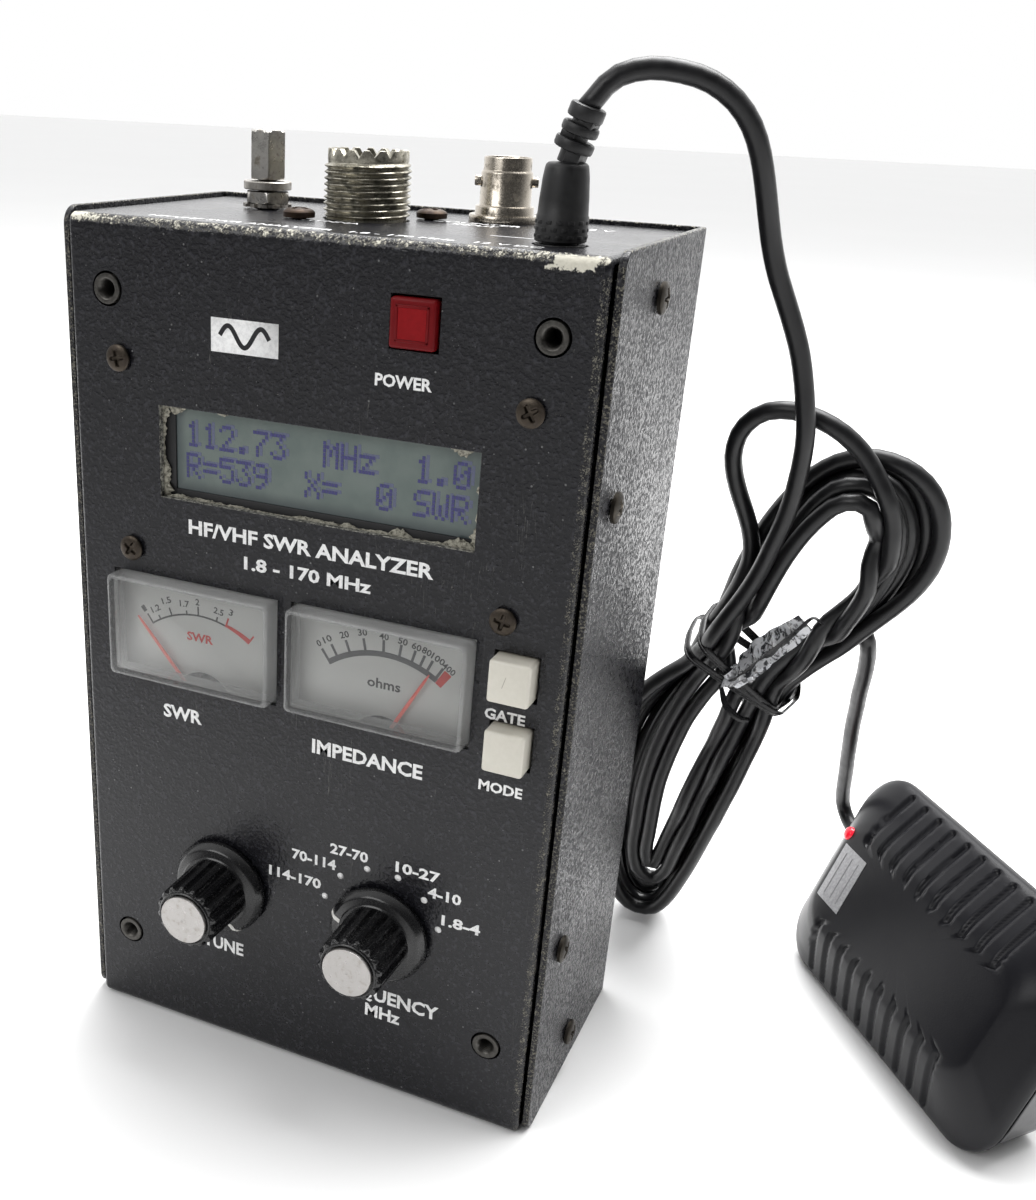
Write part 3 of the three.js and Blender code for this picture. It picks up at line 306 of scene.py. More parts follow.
# ------------------------------------------------------------------ geometry
class Geo:
    """Gathers vertices (mm) and faces with a material index each."""

    def __init__(self):
        self.v, self.f, self.m = [], [], []

    def add(self, verts, faces, mat=0, M=None):
        n = len(self.v)
        if M is not None:
            verts = [tuple(M @ Vector(p)) for p in verts]
        self.v += [tuple(p) for p in verts]
        self.f += [tuple(i + n for i in f) for f in faces]
        self.m += [mat] * len(faces)
        return self

    def rings(self, rings, mat=0, M=None, cap=(True, True), closed=True):
        n = len(rings[0])
        v = [p for r in rings for p in r]
        f = []
        last = n if closed else n - 1
        for k in range(len(rings) - 1):
            for i in range(last):
                a, b = k * n + i, k * n + (i + 1) % n
                f.append((a, b, b + n, a + n))
        if cap[0]: f.append(tuple(range(n - 1, -1, -1)))
        if cap[1]: f.append(tuple((len(rings) - 1) * n + i for i in range(n)))
        return self.add(v, f, mat, M)

    def lathe(self, prof, sides=48, mat=0, M=None, cap=(True, True)):
        """Profile of (radius, height) from the low end to the high end, about Z. Radius 0 at an end closes it to a point."""
        v, f, rows = [], [], []
        for r, h in prof:
            if r < 1e-6:
                rows.append([len(v)])
                v.append((0, 0, h))
            else:
                rows.append(list(range(len(v), len(v) + sides)))
                v += [(r * math.cos(2 * math.pi * i / sides), r * math.sin(2 * math.pi * i / sides), h) for i in range(sides)]
        for A, B in zip(rows, rows[1:]):
            for i in range(sides):
                j = (i + 1) % sides
                if len(A) == 1 and len(B) == 1: continue
                if len(A) == 1: f.append((A[0], B[j], B[i]))
                elif len(B) == 1: f.append((A[i], A[j], B[0]))
                else: f.append((A[i], A[j], B[j], B[i]))
        if cap[0] and len(rows[0]) > 1: f.append(tuple(reversed(rows[0])))
        if cap[1] and len(rows[-1]) > 1: f.append(tuple(rows[-1]))
        return self.add(v, f, mat, M)

    def ring_lathe(self, prof, sides=48, mat=0, M=None):
        """Closed profile loop of (radius, height): a ring with a hole."""
        n = len(prof)
        v = [(r * math.cos(2 * math.pi * i / sides), r * math.sin(2 * math.pi * i / sides), h) for i in range(sides) for r, h in prof]
        f = []
        for i in range(sides):
            j = (i + 1) % sides
            for k in range(n):
                l = (k + 1) % n
                f.append((i * n + k, j * n + k, j * n + l, i * n + l))
        return self.add(v, f, mat, M)

    def box(self, x0, x1, y0, y1, z0, z1, mat=0, r=0.0, seg=2, M=None):
        bm = bmesh.new()
        bmesh.ops.create_cube(bm, size=1.0)
        for p in bm.verts:
            p.co = Vector(((x0 + x1) / 2 + p.co.x * (x1 - x0), (y0 + y1) / 2 + p.co.y * (y1 - y0), (z0 + z1) / 2 + p.co.z * (z1 - z0)))
        if r > 0:
            bmesh.ops.bevel(bm, geom=list(bm.edges), offset=r, segments=seg, profile=0.5, affect="EDGES", clamp_overlap=True)
        bm.verts.index_update()
        v = [tuple(p.co) for p in bm.verts]
        f = [tuple(p.index for p in q.verts) for q in bm.faces]
        bm.free()
        return self.add(v, f, mat, M)

    def prism(self, poly, h0, h1, mat=0, M=None):
        """Closed outline (x, y) lifted from h0 to h1."""
        n = len(poly)
        v = [(x, y, h0) for x, y in poly] + [(x, y, h1) for x, y in poly]
        f = [(i, (i + 1) % n, n + (i + 1) % n, n + i) for i in range(n)] + [tuple(range(n - 1, -1, -1)), tuple(range(n, 2 * n))]
        return self.add(v, f, mat, M)

    def make(self, name, mats, body="case", slot=None, replaces=(), angle=32, fix=True):
        me = bpy.data.meshes.new(name)
        me.from_pydata([(x * MM, y * MM, z * MM) for x, y, z in self.v], [], self.f)
        mats = mats if isinstance(mats, (list, tuple)) else [mats]
        for mt in mats:
            me.materials.append(mt)
        me.polygons.foreach_set("material_index", self.m)
        me.validate()
        if fix:
            bm = bmesh.new()
            bm.from_mesh(me)
            bmesh.ops.recalc_face_normals(bm, faces=bm.faces)
            bm.to_mesh(me)
            bm.free()
        return place(name, me, body, replaces, angle)


def place(name, me, body="case", replaces=(), angle=32):
    me.polygons.foreach_set("use_smooth", [True] * len(me.polygons))
    if angle < 179:
        me.set_sharp_from_angle(angle=math.radians(angle))
    me.update()
    ob = bpy.data.objects.new(name, me)
    SCENE.collection.objects.link(ob)
    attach(ob, body)
    if replaces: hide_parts(*replaces)
    return ob


def remake(node, name, mats, weights, body="case", slot=None, width=0.3, seg=3, angle=28):
    """The CAD solid with its flat faces made whole and its edges rounded. weights(a, b) gives each sharp edge's share of the width."""
    bm = bmesh.new()
    bm.from_mesh(NODES[node].data)
    bmesh.ops.remove_doubles(bm, verts=bm.verts, dist=2e-6)
    bmesh.ops.dissolve_limit(bm, angle_limit=math.radians(0.6), verts=bm.verts, edges=bm.edges, delimit=set())
    bmesh.ops.recalc_face_normals(bm, faces=bm.faces)
    layer = bm.edges.layers.float.new("bevel_weight_edge")
    for e in bm.edges:
        if len(e.link_faces) == 2 and e.calc_face_angle(0) > math.radians(angle):
            e[layer] = weights(e.verts[0].co * 1000, e.verts[1].co * 1000)
    me = bpy.data.meshes.new(name)
    bm.to_mesh(me)
    bm.free()
    for mt in (mats if isinstance(mats, (list, tuple)) else [mats]):
        me.materials.append(mt)
    ob = place(name, me, body, (node,), 25)
    b = ob.modifiers.new("edge", "BEVEL")
    b.limit_method, b.width, b.segments = "WEIGHT", width * MM, seg
    b.use_clamp_overlap, b.harden_normals, b.miter_outer = False, True, "MITER_ARC"
    return ob


def carried(node, mat, bevel=0.0):
    """A CAD node that shows, with its own procedural finish and softened edges."""
    ob = NODES[node]
    ob.data.materials.clear()
    ob.data.materials.append(mat)
    ob.data.polygons.foreach_set("material_index", [0] * len(ob.data.polygons))
    if bevel:
        w = ob.modifiers.new("weld", "WELD")
        w.merge_threshold = 2e-6
        b = ob.modifiers.new("edge", "BEVEL")
        b.limit_method, b.angle_limit, b.width, b.segments = "ANGLE", math.radians(30), bevel * MM, 2
        b.harden_normals = True
    return ob


def to_axis(at, axis, spin=0.0):
    """Matrix that stands +Z along an axis at a place."""
    q = Vector((0, 0, 1)).rotation_difference(Vector(axis))
    return Matrix.Translation(Vector(at)) @ q.to_matrix().to_4x4() @ Matrix.Rotation(spin, 4, "Z")


def catmull(points, step):
    """A smooth line through the points, resampled evenly."""
    P = [Vector(p) for p in points]
    P = [P[0] * 2 - P[1]] + P + [P[-1] * 2 - P[-2]]
    fine = []
    for i in range(1, len(P) - 2):
        a, b, c, d = P[i - 1], P[i], P[i + 1], P[i + 2]
        n = max(2, int((c - b).length / (step * 0.5)))
        for k in range(n):
            t = k / n
            fine.append(0.5 * ((2 * b) + (c - a) * t + (2 * a - 5 * b + 4 * c - d) * t * t + (3 * b - a - 3 * c + d) * t ** 3))
    fine.append(P[-2])
    out, left = [fine[0]], step
    for a, b in zip(fine, fine[1:]):
        L = (b - a).length
        while L >= left and L > 0:
            a = a + (b - a) * (left / L)
            out.append(a)
            L = (b - a).length
            left = step
        left -= L
    if (out[-1] - fine[-1]).length > step * 0.3:
        out.append(fine[-1])
    return out


def tube(geo, pts, r, sides=14, mat=0, rad=None):
    """Round tube along points with a turn-free frame."""
    pts = [Vector(p) for p in pts]
    t = [(pts[min(i + 1, len(pts) - 1)] - pts[max(i - 1, 0)]).normalized() for i in range(len(pts))]
    n = t[0].orthogonal().normalized()
    rings = []
    for i, p in enumerate(pts):
        n = (n - t[i] * n.dot(t[i])).normalized()
        b = t[i].cross(n)
        rr = r if rad is None else rad(i / (len(pts) - 1))
        rings.append([tuple(p + (n * math.cos(2 * math.pi * k / sides) + b * math.sin(2 * math.pi * k / sides)) * rr) for k in range(sides)])
    return geo.rings(rings, mat)


_ref = {}


def text_faces(s, weight=0.012, detail=2):
    """Flat outline of a word from the built-in font: vertices, faces, cap height."""
    def build(body):
        cu = bpy.data.curves.new("t", "FONT")
        cu.body, cu.size, cu.offset, cu.resolution_u = body, 1.0, weight, detail
        cu.extrude = 0.02
        ob = bpy.data.objects.new("t", cu)
        SCENE.collection.objects.link(ob)
        dg = bpy.context.evaluated_depsgraph_get()
        me = bpy.data.meshes.new_from_object(ob.evaluated_get(dg))
        v = [tuple(p.co) for p in me.vertices]
        f = [tuple(p.vertices) for p in me.polygons]
        bpy.data.objects.remove(ob)
        bpy.data.curves.remove(cu)
        bpy.data.meshes.remove(me)
        return v, f
    if weight not in _ref:
        v, _ = build("H")
        _ref[weight] = max(p[1] for p in v) - min(p[1] for p in v), min(p[1] for p in v)
    v, f = build(s)
    return v, f, _ref[weight]


def put_text(geo, s, x0, x1, z0, cap, mat=0, y=FRONT_Y - 0.02, thick=0.03, weight=0.012, turn=0.0, slope=0.0, top=False):
    """Word on the front (or top) face between x0 and x1, baseline z0."""
    v, f, (ch, low) = text_faces(s, weight)
    a, b = min(p[0] for p in v), max(p[0] for p in v)
    cx = (x0 + x1) / 2
    out = []
    for px, py, pz in v:
        X = (px - a) / (b - a) * (x1 - x0) + x0
        Z = (py - low) / ch * cap
        X += Z * slope
        dx, dz = X - cx, Z - (cap / 2 if turn else 0)
        X, Z = cx + dx * math.cos(turn) - dz * math.sin(turn), dx * math.sin(turn) + dz * math.cos(turn) + (cap / 2 if turn else 0)
        d = thick / 2 if pz > 0 else -thick / 2
        out.append((X, z0 + Z, y + d) if top else (X, y - d, z0 + Z))
    geo.add(out, f, mat)


# ------------------------------------------------------------------ the cord comes first
CORD = [
    (40.6, -16.2, 190.5), (43.6, -15.0, 194.3), (48.0, -13.5, 195.8), (52.7, -11.7, 195.6), (57.1, -9.8, 194.4), (60.9, -7.7, 191.8),
    (63.6, -5.6, 188.2), (65.2, -3.5, 184.0), (66.2, -1.3, 179.5), (67.0, 0.8, 175.1), (67.9, 2.8, 170.6), (69.2, 4.6, 166.1), (70.9, 6.4, 161.8),
    (72.7, 8.0, 157.4), (74.3, 9.5, 152.9), (75.5, 10.8, 148.2), (76.5, 11.7, 143.4), (77.2, 12.8, 138.6), (77.2, 14.4, 133.9), (76.8, 16.0, 129.1),
    (76.2, 17.6, 124.4), (75.2, 19.1, 119.8), (73.9, 20.6, 115.2), (72.6, 22.2, 110.6), (71.0, 23.7, 106.1), (69.1, 25.1, 101.7), (66.9, 26.1, 97.3),
    (64.8, 27.7, 93.1), (63.1, 30.5, 89.3), (61.1, 33.4, 85.8), (58.5, 35.4, 82.0), (55.2, 36.8, 78.6), (51.8, 37.6, 75.0), (48.9, 38.7, 71.1),
    (46.5, 40.1, 66.9), (44.7, 41.6, 62.5), (43.2, 43.2, 58.0), (42.1, 44.7, 53.4), (41.4, 46.3, 48.7), (40.9, 47.8, 43.9), (40.7, 49.4, 39.2),
    (40.8, 50.9, 34.4), (41.2, 52.5, 29.7), (41.8, 54.1, 25.0), (42.4, 55.6, 20.3), (43.2, 57.2, 15.6), (44.3, 58.7, 11.0), (46.1, 60.2, 6.5),
    (49.7, 61.2, 3.4), (54.5, 61.0, 4.1), (57.4, 59.7, 7.9), (59.4, 58.3, 12.3), (61.0, 56.8, 16.8), (62.5, 55.3, 21.3), (63.9, 53.8, 25.9),
    (65.2, 52.3, 30.4), (66.5, 50.8, 35.0), (67.9, 49.2, 39.6), (69.1, 47.7, 44.2), (70.4, 46.2, 48.8), (71.6, 44.7, 53.4), (72.7, 43.2, 58.0),
    (73.9, 41.6, 62.7), (75.0, 40.1, 67.3), (75.9, 38.0, 71.7), (76.6, 36.7, 76.4), (77.6, 36.0, 81.2), (80.1, 34.2, 85.1), (82.1, 31.5, 88.8),
    (83.6, 29.4, 93.1), (85.0, 29.8, 97.8), (88.0, 30.3, 101.6), (90.6, 28.7, 105.6), (92.4, 27.1, 110.0), (94.6, 24.7, 113.7), (94.7, 22.5, 118.2),
    (94.0, 21.5, 123.0), (92.3, 19.9, 127.4), (89.6, 19.7, 131.6), (86.5, 19.1, 135.4), (82.7, 18.1, 138.5), (78.2, 17.7, 140.5),
    (73.3, 17.8, 141.3), (68.5, 18.4, 140.1), (65.2, 19.3, 136.6), (64.0, 20.9, 132.0), (64.3, 23.0, 127.5), (65.5, 25.0, 123.1),
    (67.2, 26.7, 118.6), (68.6, 28.1, 114.1), (69.0, 29.4, 109.3), (68.0, 30.7, 104.6), (66.5, 32.4, 100.1), (64.7, 33.8, 95.7), (62.6, 35.3, 91.4),
    (60.9, 36.9, 87.0), (59.4, 38.6, 82.6), (56.7, 40.1, 78.7), (53.5, 41.3, 75.0), (50.6, 42.5, 71.1), (48.2, 43.9, 67.0), (46.3, 45.3, 62.6),
    (44.9, 46.8, 58.0), (43.8, 48.4, 53.4), (42.9, 49.9, 48.7), (42.4, 51.5, 44.0), (42.1, 53.0, 39.3), (42.1, 54.6, 34.5), (42.3, 56.2, 29.8),
    (42.7, 57.7, 25.0), (43.3, 59.3, 20.3), (43.9, 60.9, 15.6), (44.8, 62.4, 10.9), (46.5, 63.9, 6.5), (50.1, 64.9, 3.4), (54.6, 64.4, 4.7),
    (57.0, 63.1, 8.9), (58.7, 61.6, 13.3), (60.2, 60.1, 17.9), (61.6, 58.6, 22.4), (63.0, 57.1, 27.0), (64.4, 55.6, 31.5), (65.7, 54.1, 36.1),
    (67.1, 52.6, 40.7), (68.4, 51.1, 45.3), (69.7, 49.5, 49.9), (71.0, 48.0, 54.5), (72.2, 46.5, 59.1), (73.4, 45.0, 63.7), (74.6, 43.5, 68.3),
    (75.7, 41.4, 72.6), (77.5, 39.8, 77.0), (79.8, 39.2, 81.4), (82.7, 38.0, 85.2), (85.8, 36.8, 88.9), (88.8, 35.0, 92.5), (91.7, 34.0, 96.4),
    (94.7, 33.1, 100.3), (97.6, 31.9, 104.2), (100.1, 30.7, 108.3), (101.9, 29.5, 112.9), (102.6, 28.4, 117.7), (102.1, 27.1, 122.5),
    (100.4, 25.7, 126.9), (97.3, 24.5, 130.6), (92.9, 23.8, 132.9), (88.0, 24.0, 133.4), (83.3, 24.8, 132.0), (79.3, 25.6, 129.1),
    (76.3, 26.8, 125.4), (73.7, 28.3, 121.3), (71.5, 29.9, 117.1), (69.6, 31.7, 112.9), (68.0, 33.2, 108.4), (66.5, 34.6, 103.8), (65.4, 36.2, 99.2),
    (64.3, 37.5, 94.5), (64.2, 39.5, 90.0), (62.9, 43.0, 86.9), (59.9, 43.7, 83.2), (57.5, 43.6, 78.9), (54.6, 44.9, 75.0), (52.0, 46.3, 71.0),
    (49.7, 47.7, 66.8), (47.8, 49.1, 62.4), (46.3, 50.6, 57.8), (45.1, 52.1, 53.2), (44.2, 53.7, 48.6), (43.5, 55.2, 43.9), (43.0, 56.8, 39.1),
    (42.8, 58.3, 34.4), (42.8, 59.9, 29.6), (43.0, 61.5, 24.9), (43.3, 63.0, 20.1), (43.7, 64.6, 15.4), (44.4, 66.2, 10.7), (46.0, 67.6, 6.2),
    (49.5, 68.7, 2.9), (54.1, 68.5, 3.6), (56.7, 67.2, 7.6), (58.3, 65.7, 12.1), (59.8, 64.2, 16.7), (61.2, 62.7, 21.2), (62.6, 61.2, 25.8),
    (63.9, 59.7, 30.4), (65.2, 58.2, 35.0), (66.5, 56.6, 39.5), (67.8, 55.1, 44.1), (69.1, 53.6, 48.7), (70.4, 52.1, 53.3), (71.7, 50.6, 57.9),
    (72.9, 49.1, 62.5), (74.2, 47.6, 67.1), (75.5, 46.0, 71.7), (77.9, 43.3, 75.0), (79.5, 43.0, 79.6), (82.4, 42.1, 83.6), (85.4, 41.1, 87.5),
    (88.5, 39.6, 91.1), (91.2, 37.4, 94.6), (94.0, 37.8, 98.7), (96.4, 36.7, 102.9), (98.4, 35.1, 107.2), (99.8, 33.5, 111.7), (100.3, 31.7, 116.3),
    (99.7, 30.2, 121.1), (98.0, 29.3, 125.6), (94.8, 28.7, 129.4), (90.4, 27.8, 131.4), (85.5, 27.4, 131.0), (81.3, 28.2, 128.4),
    (78.2, 29.4, 124.7), (75.6, 30.9, 120.7), (73.3, 32.7, 116.7), (71.3, 34.6, 112.5), (69.6, 36.1, 108.1), (68.2, 37.5, 103.4), (67.0, 39.1, 98.9),
    (64.9, 40.8, 94.7), (61.7, 41.2, 91.0), (61.2, 40.4, 86.3), (62.6, 42.3, 82.0), (60.9, 44.0, 77.7), (57.9, 45.3, 73.9), (55.2, 46.6, 69.9),
    (52.8, 48.0, 65.7), (51.0, 49.5, 61.3), (49.5, 51.0, 56.8), (48.3, 52.5, 52.2), (47.4, 54.0, 47.5), (46.7, 55.6, 42.8), (46.2, 57.1, 38.1),
    (46.0, 58.7, 33.3), (46.1, 60.3, 28.6), (46.3, 61.8, 23.8), (46.6, 63.4, 19.1), (47.1, 64.9, 14.4), (48.0, 66.5, 9.7), (50.7, 67.8, 5.8),
    (53.8, 66.7, 9.0), (55.3, 65.2, 13.5), (56.8, 63.7, 18.0), (58.2, 62.2, 22.6), (59.6, 60.7, 27.1), (60.9, 59.2, 31.7), (62.2, 57.7, 36.3),
    (63.5, 56.2, 40.9), (64.8, 54.7, 45.5), (66.0, 53.2, 50.1), (67.3, 51.6, 54.7), (68.6, 50.1, 59.3), (69.9, 48.6, 63.8), (71.2, 47.1, 68.4),
    (72.3, 45.7, 73.1), (73.1, 45.8, 78.0), (76.1, 43.6, 81.2), (79.1, 41.6, 84.7), (82.2, 40.2, 88.3), (85.2, 39.1, 92.1), (88.2, 38.3, 96.0),
    (91.1, 36.4, 99.6), (93.8, 34.8, 103.5), (95.7, 33.3, 107.8), (97.0, 31.6, 112.4), (97.4, 29.8, 117.0), (96.5, 28.3, 121.7), (94.3, 27.3, 126.0),
    (90.6, 25.7, 128.9), (85.8, 24.8, 129.1), (81.6, 25.4, 126.6), (78.6, 26.7, 122.8), (76.3, 27.9, 118.5), (74.2, 29.2, 114.2),
    (72.4, 30.6, 109.7), (71.0, 32.0, 105.1), (69.8, 33.3, 100.5), (68.2, 35.2, 96.1), (67.0, 36.5, 91.5), (65.5, 37.7, 86.9), (63.2, 38.3, 82.5),
    (60.7, 40.1, 78.5), (58.3, 41.5, 74.4), (56.2, 42.9, 70.1), (54.3, 44.3, 65.7), (52.7, 45.8, 61.2), (51.4, 47.3, 56.6), (50.3, 48.9, 51.9),
    (49.4, 50.4, 47.3), (48.8, 52.0, 42.6), (48.4, 53.5, 37.8), (48.2, 55.1, 33.1), (48.2, 56.7, 28.3), (48.2, 58.2, 23.6), (48.4, 59.8, 18.8),
    (49.2, 61.3, 14.2), (52.0, 62.6, 10.4), (55.3, 61.6, 13.4), (56.7, 60.1, 17.9), (58.1, 58.6, 22.5), (59.5, 57.1, 27.1), (60.8, 55.6, 31.7),
    (62.1, 54.0, 36.2), (63.3, 52.6, 40.9), (64.5, 51.1, 45.5), (65.8, 49.5, 50.1), (67.1, 48.0, 54.6), (68.4, 46.5, 59.2), (69.8, 44.9, 63.8),
    (71.1, 43.4, 68.4), (72.1, 42.1, 73.0), (71.8, 42.8, 77.9), (74.7, 40.5, 81.1), (77.8, 38.3, 84.1), (80.8, 36.9, 87.9), (83.9, 36.0, 91.7),
    (87.0, 34.9, 95.5), (89.8, 33.2, 99.3), (92.0, 31.6, 103.5), (93.9, 30.1, 107.9), (95.2, 28.8, 112.5), (95.5, 26.5, 116.9), (94.9, 25.1, 121.6),
    (92.7, 23.9, 125.9), (89.0, 22.0, 128.5), (84.2, 21.6, 128.0), (80.7, 22.6, 124.6), (78.3, 24.0, 120.4), (76.2, 25.3, 116.1),
    (74.3, 26.7, 111.7), (72.5, 28.0, 107.2), (70.8, 29.3, 102.7), (68.4, 29.7, 98.4), (67.9, 29.3, 93.5), (66.6, 30.6, 88.9), (64.4, 32.9, 85.1),
    (62.3, 35.3, 81.4), (60.2, 36.9, 77.1), (58.3, 38.3, 72.8), (56.6, 39.8, 68.3), (55.1, 41.3, 63.8), (53.8, 42.8, 59.2), (52.6, 44.3, 54.5),
    (51.7, 45.9, 49.9), (50.9, 47.4, 45.2), (50.3, 49.0, 40.5), (49.9, 50.5, 35.7), (49.5, 52.1, 31.0), (49.1, 53.7, 26.3), (49.3, 55.3, 21.6),
    (50.4, 56.8, 17.0), (54.4, 57.6, 14.9), (57.3, 56.3, 18.5), (58.6, 54.3, 22.9), (59.7, 52.6, 27.5), (61.0, 51.2, 32.1), (62.3, 50.3, 36.8),
    (63.3, 49.0, 41.6), (64.5, 47.4, 46.2), (65.9, 45.6, 50.6), (67.1, 43.6, 55.0), (68.4, 42.0, 59.6), (69.8, 40.9, 64.2), (71.0, 39.6, 68.9),
    (72.4, 38.0, 73.5), (73.6, 35.7, 77.7), (75.0, 34.4, 82.3), (77.3, 33.6, 86.6), (80.4, 33.7, 90.5), (84.1, 32.6, 93.7), (87.7, 30.5, 96.3),
    (89.2, 27.7, 100.1), (90.9, 25.7, 104.4), (92.0, 24.0, 108.9), (91.5, 23.8, 113.8), (92.1, 24.5, 118.5), (91.1, 20.8, 121.7),
    (89.4, 19.2, 125.7), (84.9, 19.5, 125.5), (81.5, 20.4, 122.0), (78.9, 21.6, 117.9), (76.8, 22.8, 113.5), (75.1, 24.4, 109.1),
    (73.6, 25.8, 104.6), (72.2, 27.5, 100.1), (70.9, 30.9, 96.7), (67.6, 32.7, 93.5), (66.1, 33.8, 89.1), (67.3, 34.9, 84.4), (65.6, 35.9, 79.9),
    (63.3, 37.3, 75.7), (61.3, 38.8, 71.3), (59.5, 40.2, 66.9), (58.1, 41.7, 62.3), (56.8, 43.3, 57.7), (55.7, 44.8, 53.1), (54.7, 46.3, 48.5),
    (54.0, 47.9, 43.8), (53.5, 49.4, 39.0), (53.1, 51.0, 34.3), (52.7, 52.5, 29.6), (52.3, 54.0, 24.8), (52.9, 55.6, 20.1), (54.4, 55.7, 20.2),
    (55.8, 54.7, 24.9), (57.0, 53.2, 29.5), (58.2, 51.5, 34.1), (59.4, 49.3, 38.4), (60.5, 47.4, 42.9), (61.7, 46.1, 47.6), (63.0, 45.2, 52.3),
    (64.4, 44.3, 57.0), (65.8, 42.9, 61.6), (66.9, 40.7, 66.0), (68.1, 38.6, 70.3), (69.1, 36.7, 74.8), (70.8, 36.5, 79.3), (73.8, 39.6, 77.8),
    (75.6, 44.1, 76.9), (79.1, 46.3, 78.7), (81.7, 45.9, 82.9), (84.5, 45.7, 87.1), (86.8, 44.5, 91.4), (89.5, 43.1, 95.3), (92.5, 40.7, 93.5),
    (93.4, 43.6, 89.5), (93.5, 46.7, 85.5), (93.4, 49.7, 81.6), (93.1, 52.8, 77.7), (92.9, 56.1, 73.9), (92.8, 59.3, 70.0), (92.6, 62.4, 66.1),
    (92.5, 65.4, 62.1), (92.5, 68.3, 58.1), (92.5, 71.3, 54.1), (92.5, 74.3, 50.0), (92.6, 77.2, 46.0), (92.6, 80.0, 41.9), (92.7, 82.7, 37.6),
    (93.3, 84.6, 33.1), (95.7, 82.5, 29.6), (98.6, 78.5, 28.9), (101.5, 74.4, 28.9), (104.5, 70.4, 28.9), (107.4, 66.4, 28.9), (110.3, 62.3, 28.9),
    (113.3, 58.3, 28.9), (116.2, 54.2, 28.9),
]
pvc = Mat("cord_pvc", spec=0.38)
n1 = pvc.noise(0.5, 3.0, 0.6)
pvc_m = pvc.finish(pvc.mix(n1, (0.0042, 0.0042, 0.0050), (0.0095, 0.0095, 0.0105)), pvc.rng(n1, 0.3, 0.7, 0.30, 0.42), None, pvc.bump(pvc.add(pvc.noise(5.0, 2.0), pvc.mul(n1, 1.5)), 0.010))

start = Vector(CORD[0]) - (Vector(CORD[1]) - Vector(CORD[0])).normalized() * 1.4
line = catmull([tuple(start)] + CORD, 2.4)
g = Geo()
tube(g, line, CORD_R, 16)
cord = g.make("supply_cord", pvc_m, "case", "cord_pvc", ("cord_lead", "cord_hank", "cord_tail"), 179)

# relief: three slabs on a neck that is cut from alternate sides
relief_m = plastic("relief_plastic", (0.007, 0.007, 0.0075), (0.012, 0.012, 0.013), 0.46, 0.012, 0.9, 0.4)
g = Geo()
ra, rb = Vector((DCIN[0] + 0.25, DCIN[1], TOP_Z + 13.3)), Vector(CORD[0])
rd = rb - ra
RM = to_axis(ra, rd.normalized())
RL = rd.length


def slab(z0, z1, r, squash=0.92):
    """Thick washer with rounded rims."""
    k = 0.42
    prof = [(0, z0), (r - k, z0), (r - k * 0.3, z0 + k * 0.3), (r, z0 + k), (r, z1 - k), (r - k * 0.3, z1 - k * 0.3), (r - k, z1), (0, z1)]
    return prof


for z0, z1, r in ((0.9, 2.6, 3.2), (3.35, 4.95, 3.0), (5.55, RL - 0.15, 2.9)):
    g.lathe(slab(z0, z1, r), 40, 0, RM)
g.lathe([(0, -1.1), (1.75, -1.1), (1.75, RL - 0.3), (0, RL - 0.3)], 28, 0, RM)
for z0, z1, side in ((-1.0, 1.2, 1), (2.4, 3.6, -1), (4.7, 5.8, 1)):      # webs, on the left and right in turn
    for s in (side,):
        g.box(s * 1.0 - 1.25, s * 1.0 + 1.25, -2.2, 2.2, z0, z1, 0, 0.25, 2, RM)
relief = g.make("strain_relief_boot", relief_m, "case", "black_plastic", ("strain_relief",), 35)

# plug body with ribbed grip
g = Geo()
PZ = TOP_Z + 0.5
PM = Matrix.Translation((DCIN[0], DCIN[1], 0))
g.lathe([(0, PZ - 10), (2.5, PZ - 10), (2.75, PZ - 9.7), (2.75, PZ - 0.02), (4.05, PZ), (4.2, PZ + 0.15), (4.2, PZ + 3.9), (4.08, PZ + 4.1), (3.95, PZ + 6.5), (3.72, PZ + 9.5),
         (3.5, PZ + 11.0), (3.36, PZ + 11.5), (3.0, PZ + 11.82), (2.6, PZ + 11.9), (0, PZ + 11.9)], 48, 0, PM)
for row in range(3):
    for i in range(14):
        a = 2 * math.pi * (i + 0.5 * (row % 2)) / 14
        zr = PZ + 0.85 + row * 1.1
        pts = []
        for k in range(9):
            b = a + (k / 8 - 0.5) * 0.32
            bump = math.sin(math.pi * k / 8) ** 0.5 * 0.24
            pts.append([((4.12 + h[0] * bump) * math.cos(b), (4.12 + h[0] * bump) * math.sin(b), zr + h[1]) for h in ((0, -0.33), (0.75, -0.27), (1, 0), (0.75, 0.27), (0, 0.33))])
        g.rings(pts, 0, PM, (True, True), closed=True)
plug = g.make("dc_plug_body", relief_m, "case", "black_plastic", ("dc_plug",), 40)

# adapter: moulded halves with louvre grooves over both shoulders
A = dict(cx=118.9, cy=42.2, L=80.0, H=51.7, fL=61.0, fH=24.4, front=8.9, base=16.0, r=10.0)
HEAD, LEAN = -0.943, math.radians(20)
av = Vector((math.cos(HEAD), math.sin(HEAD), 0))
hv = Vector((math.sin(HEAD), -math.cos(HEAD), 0))
nv = hv * math.cos(LEAN) + Vector((0, 0, math.sin(LEAN)))
bv = Vector((0, 0, math.cos(LEAN))) - hv * math.sin(LEAN)
AM = Matrix.Identity(4)
for c, w in enumerate((av, bv, nv)):
    for r in range(3):
        AM[r][c] = w[r]
AM.translation = Vector((A["cx"], A["cy"], A["H"] / 2 * math.cos(LEAN) + 0.02))


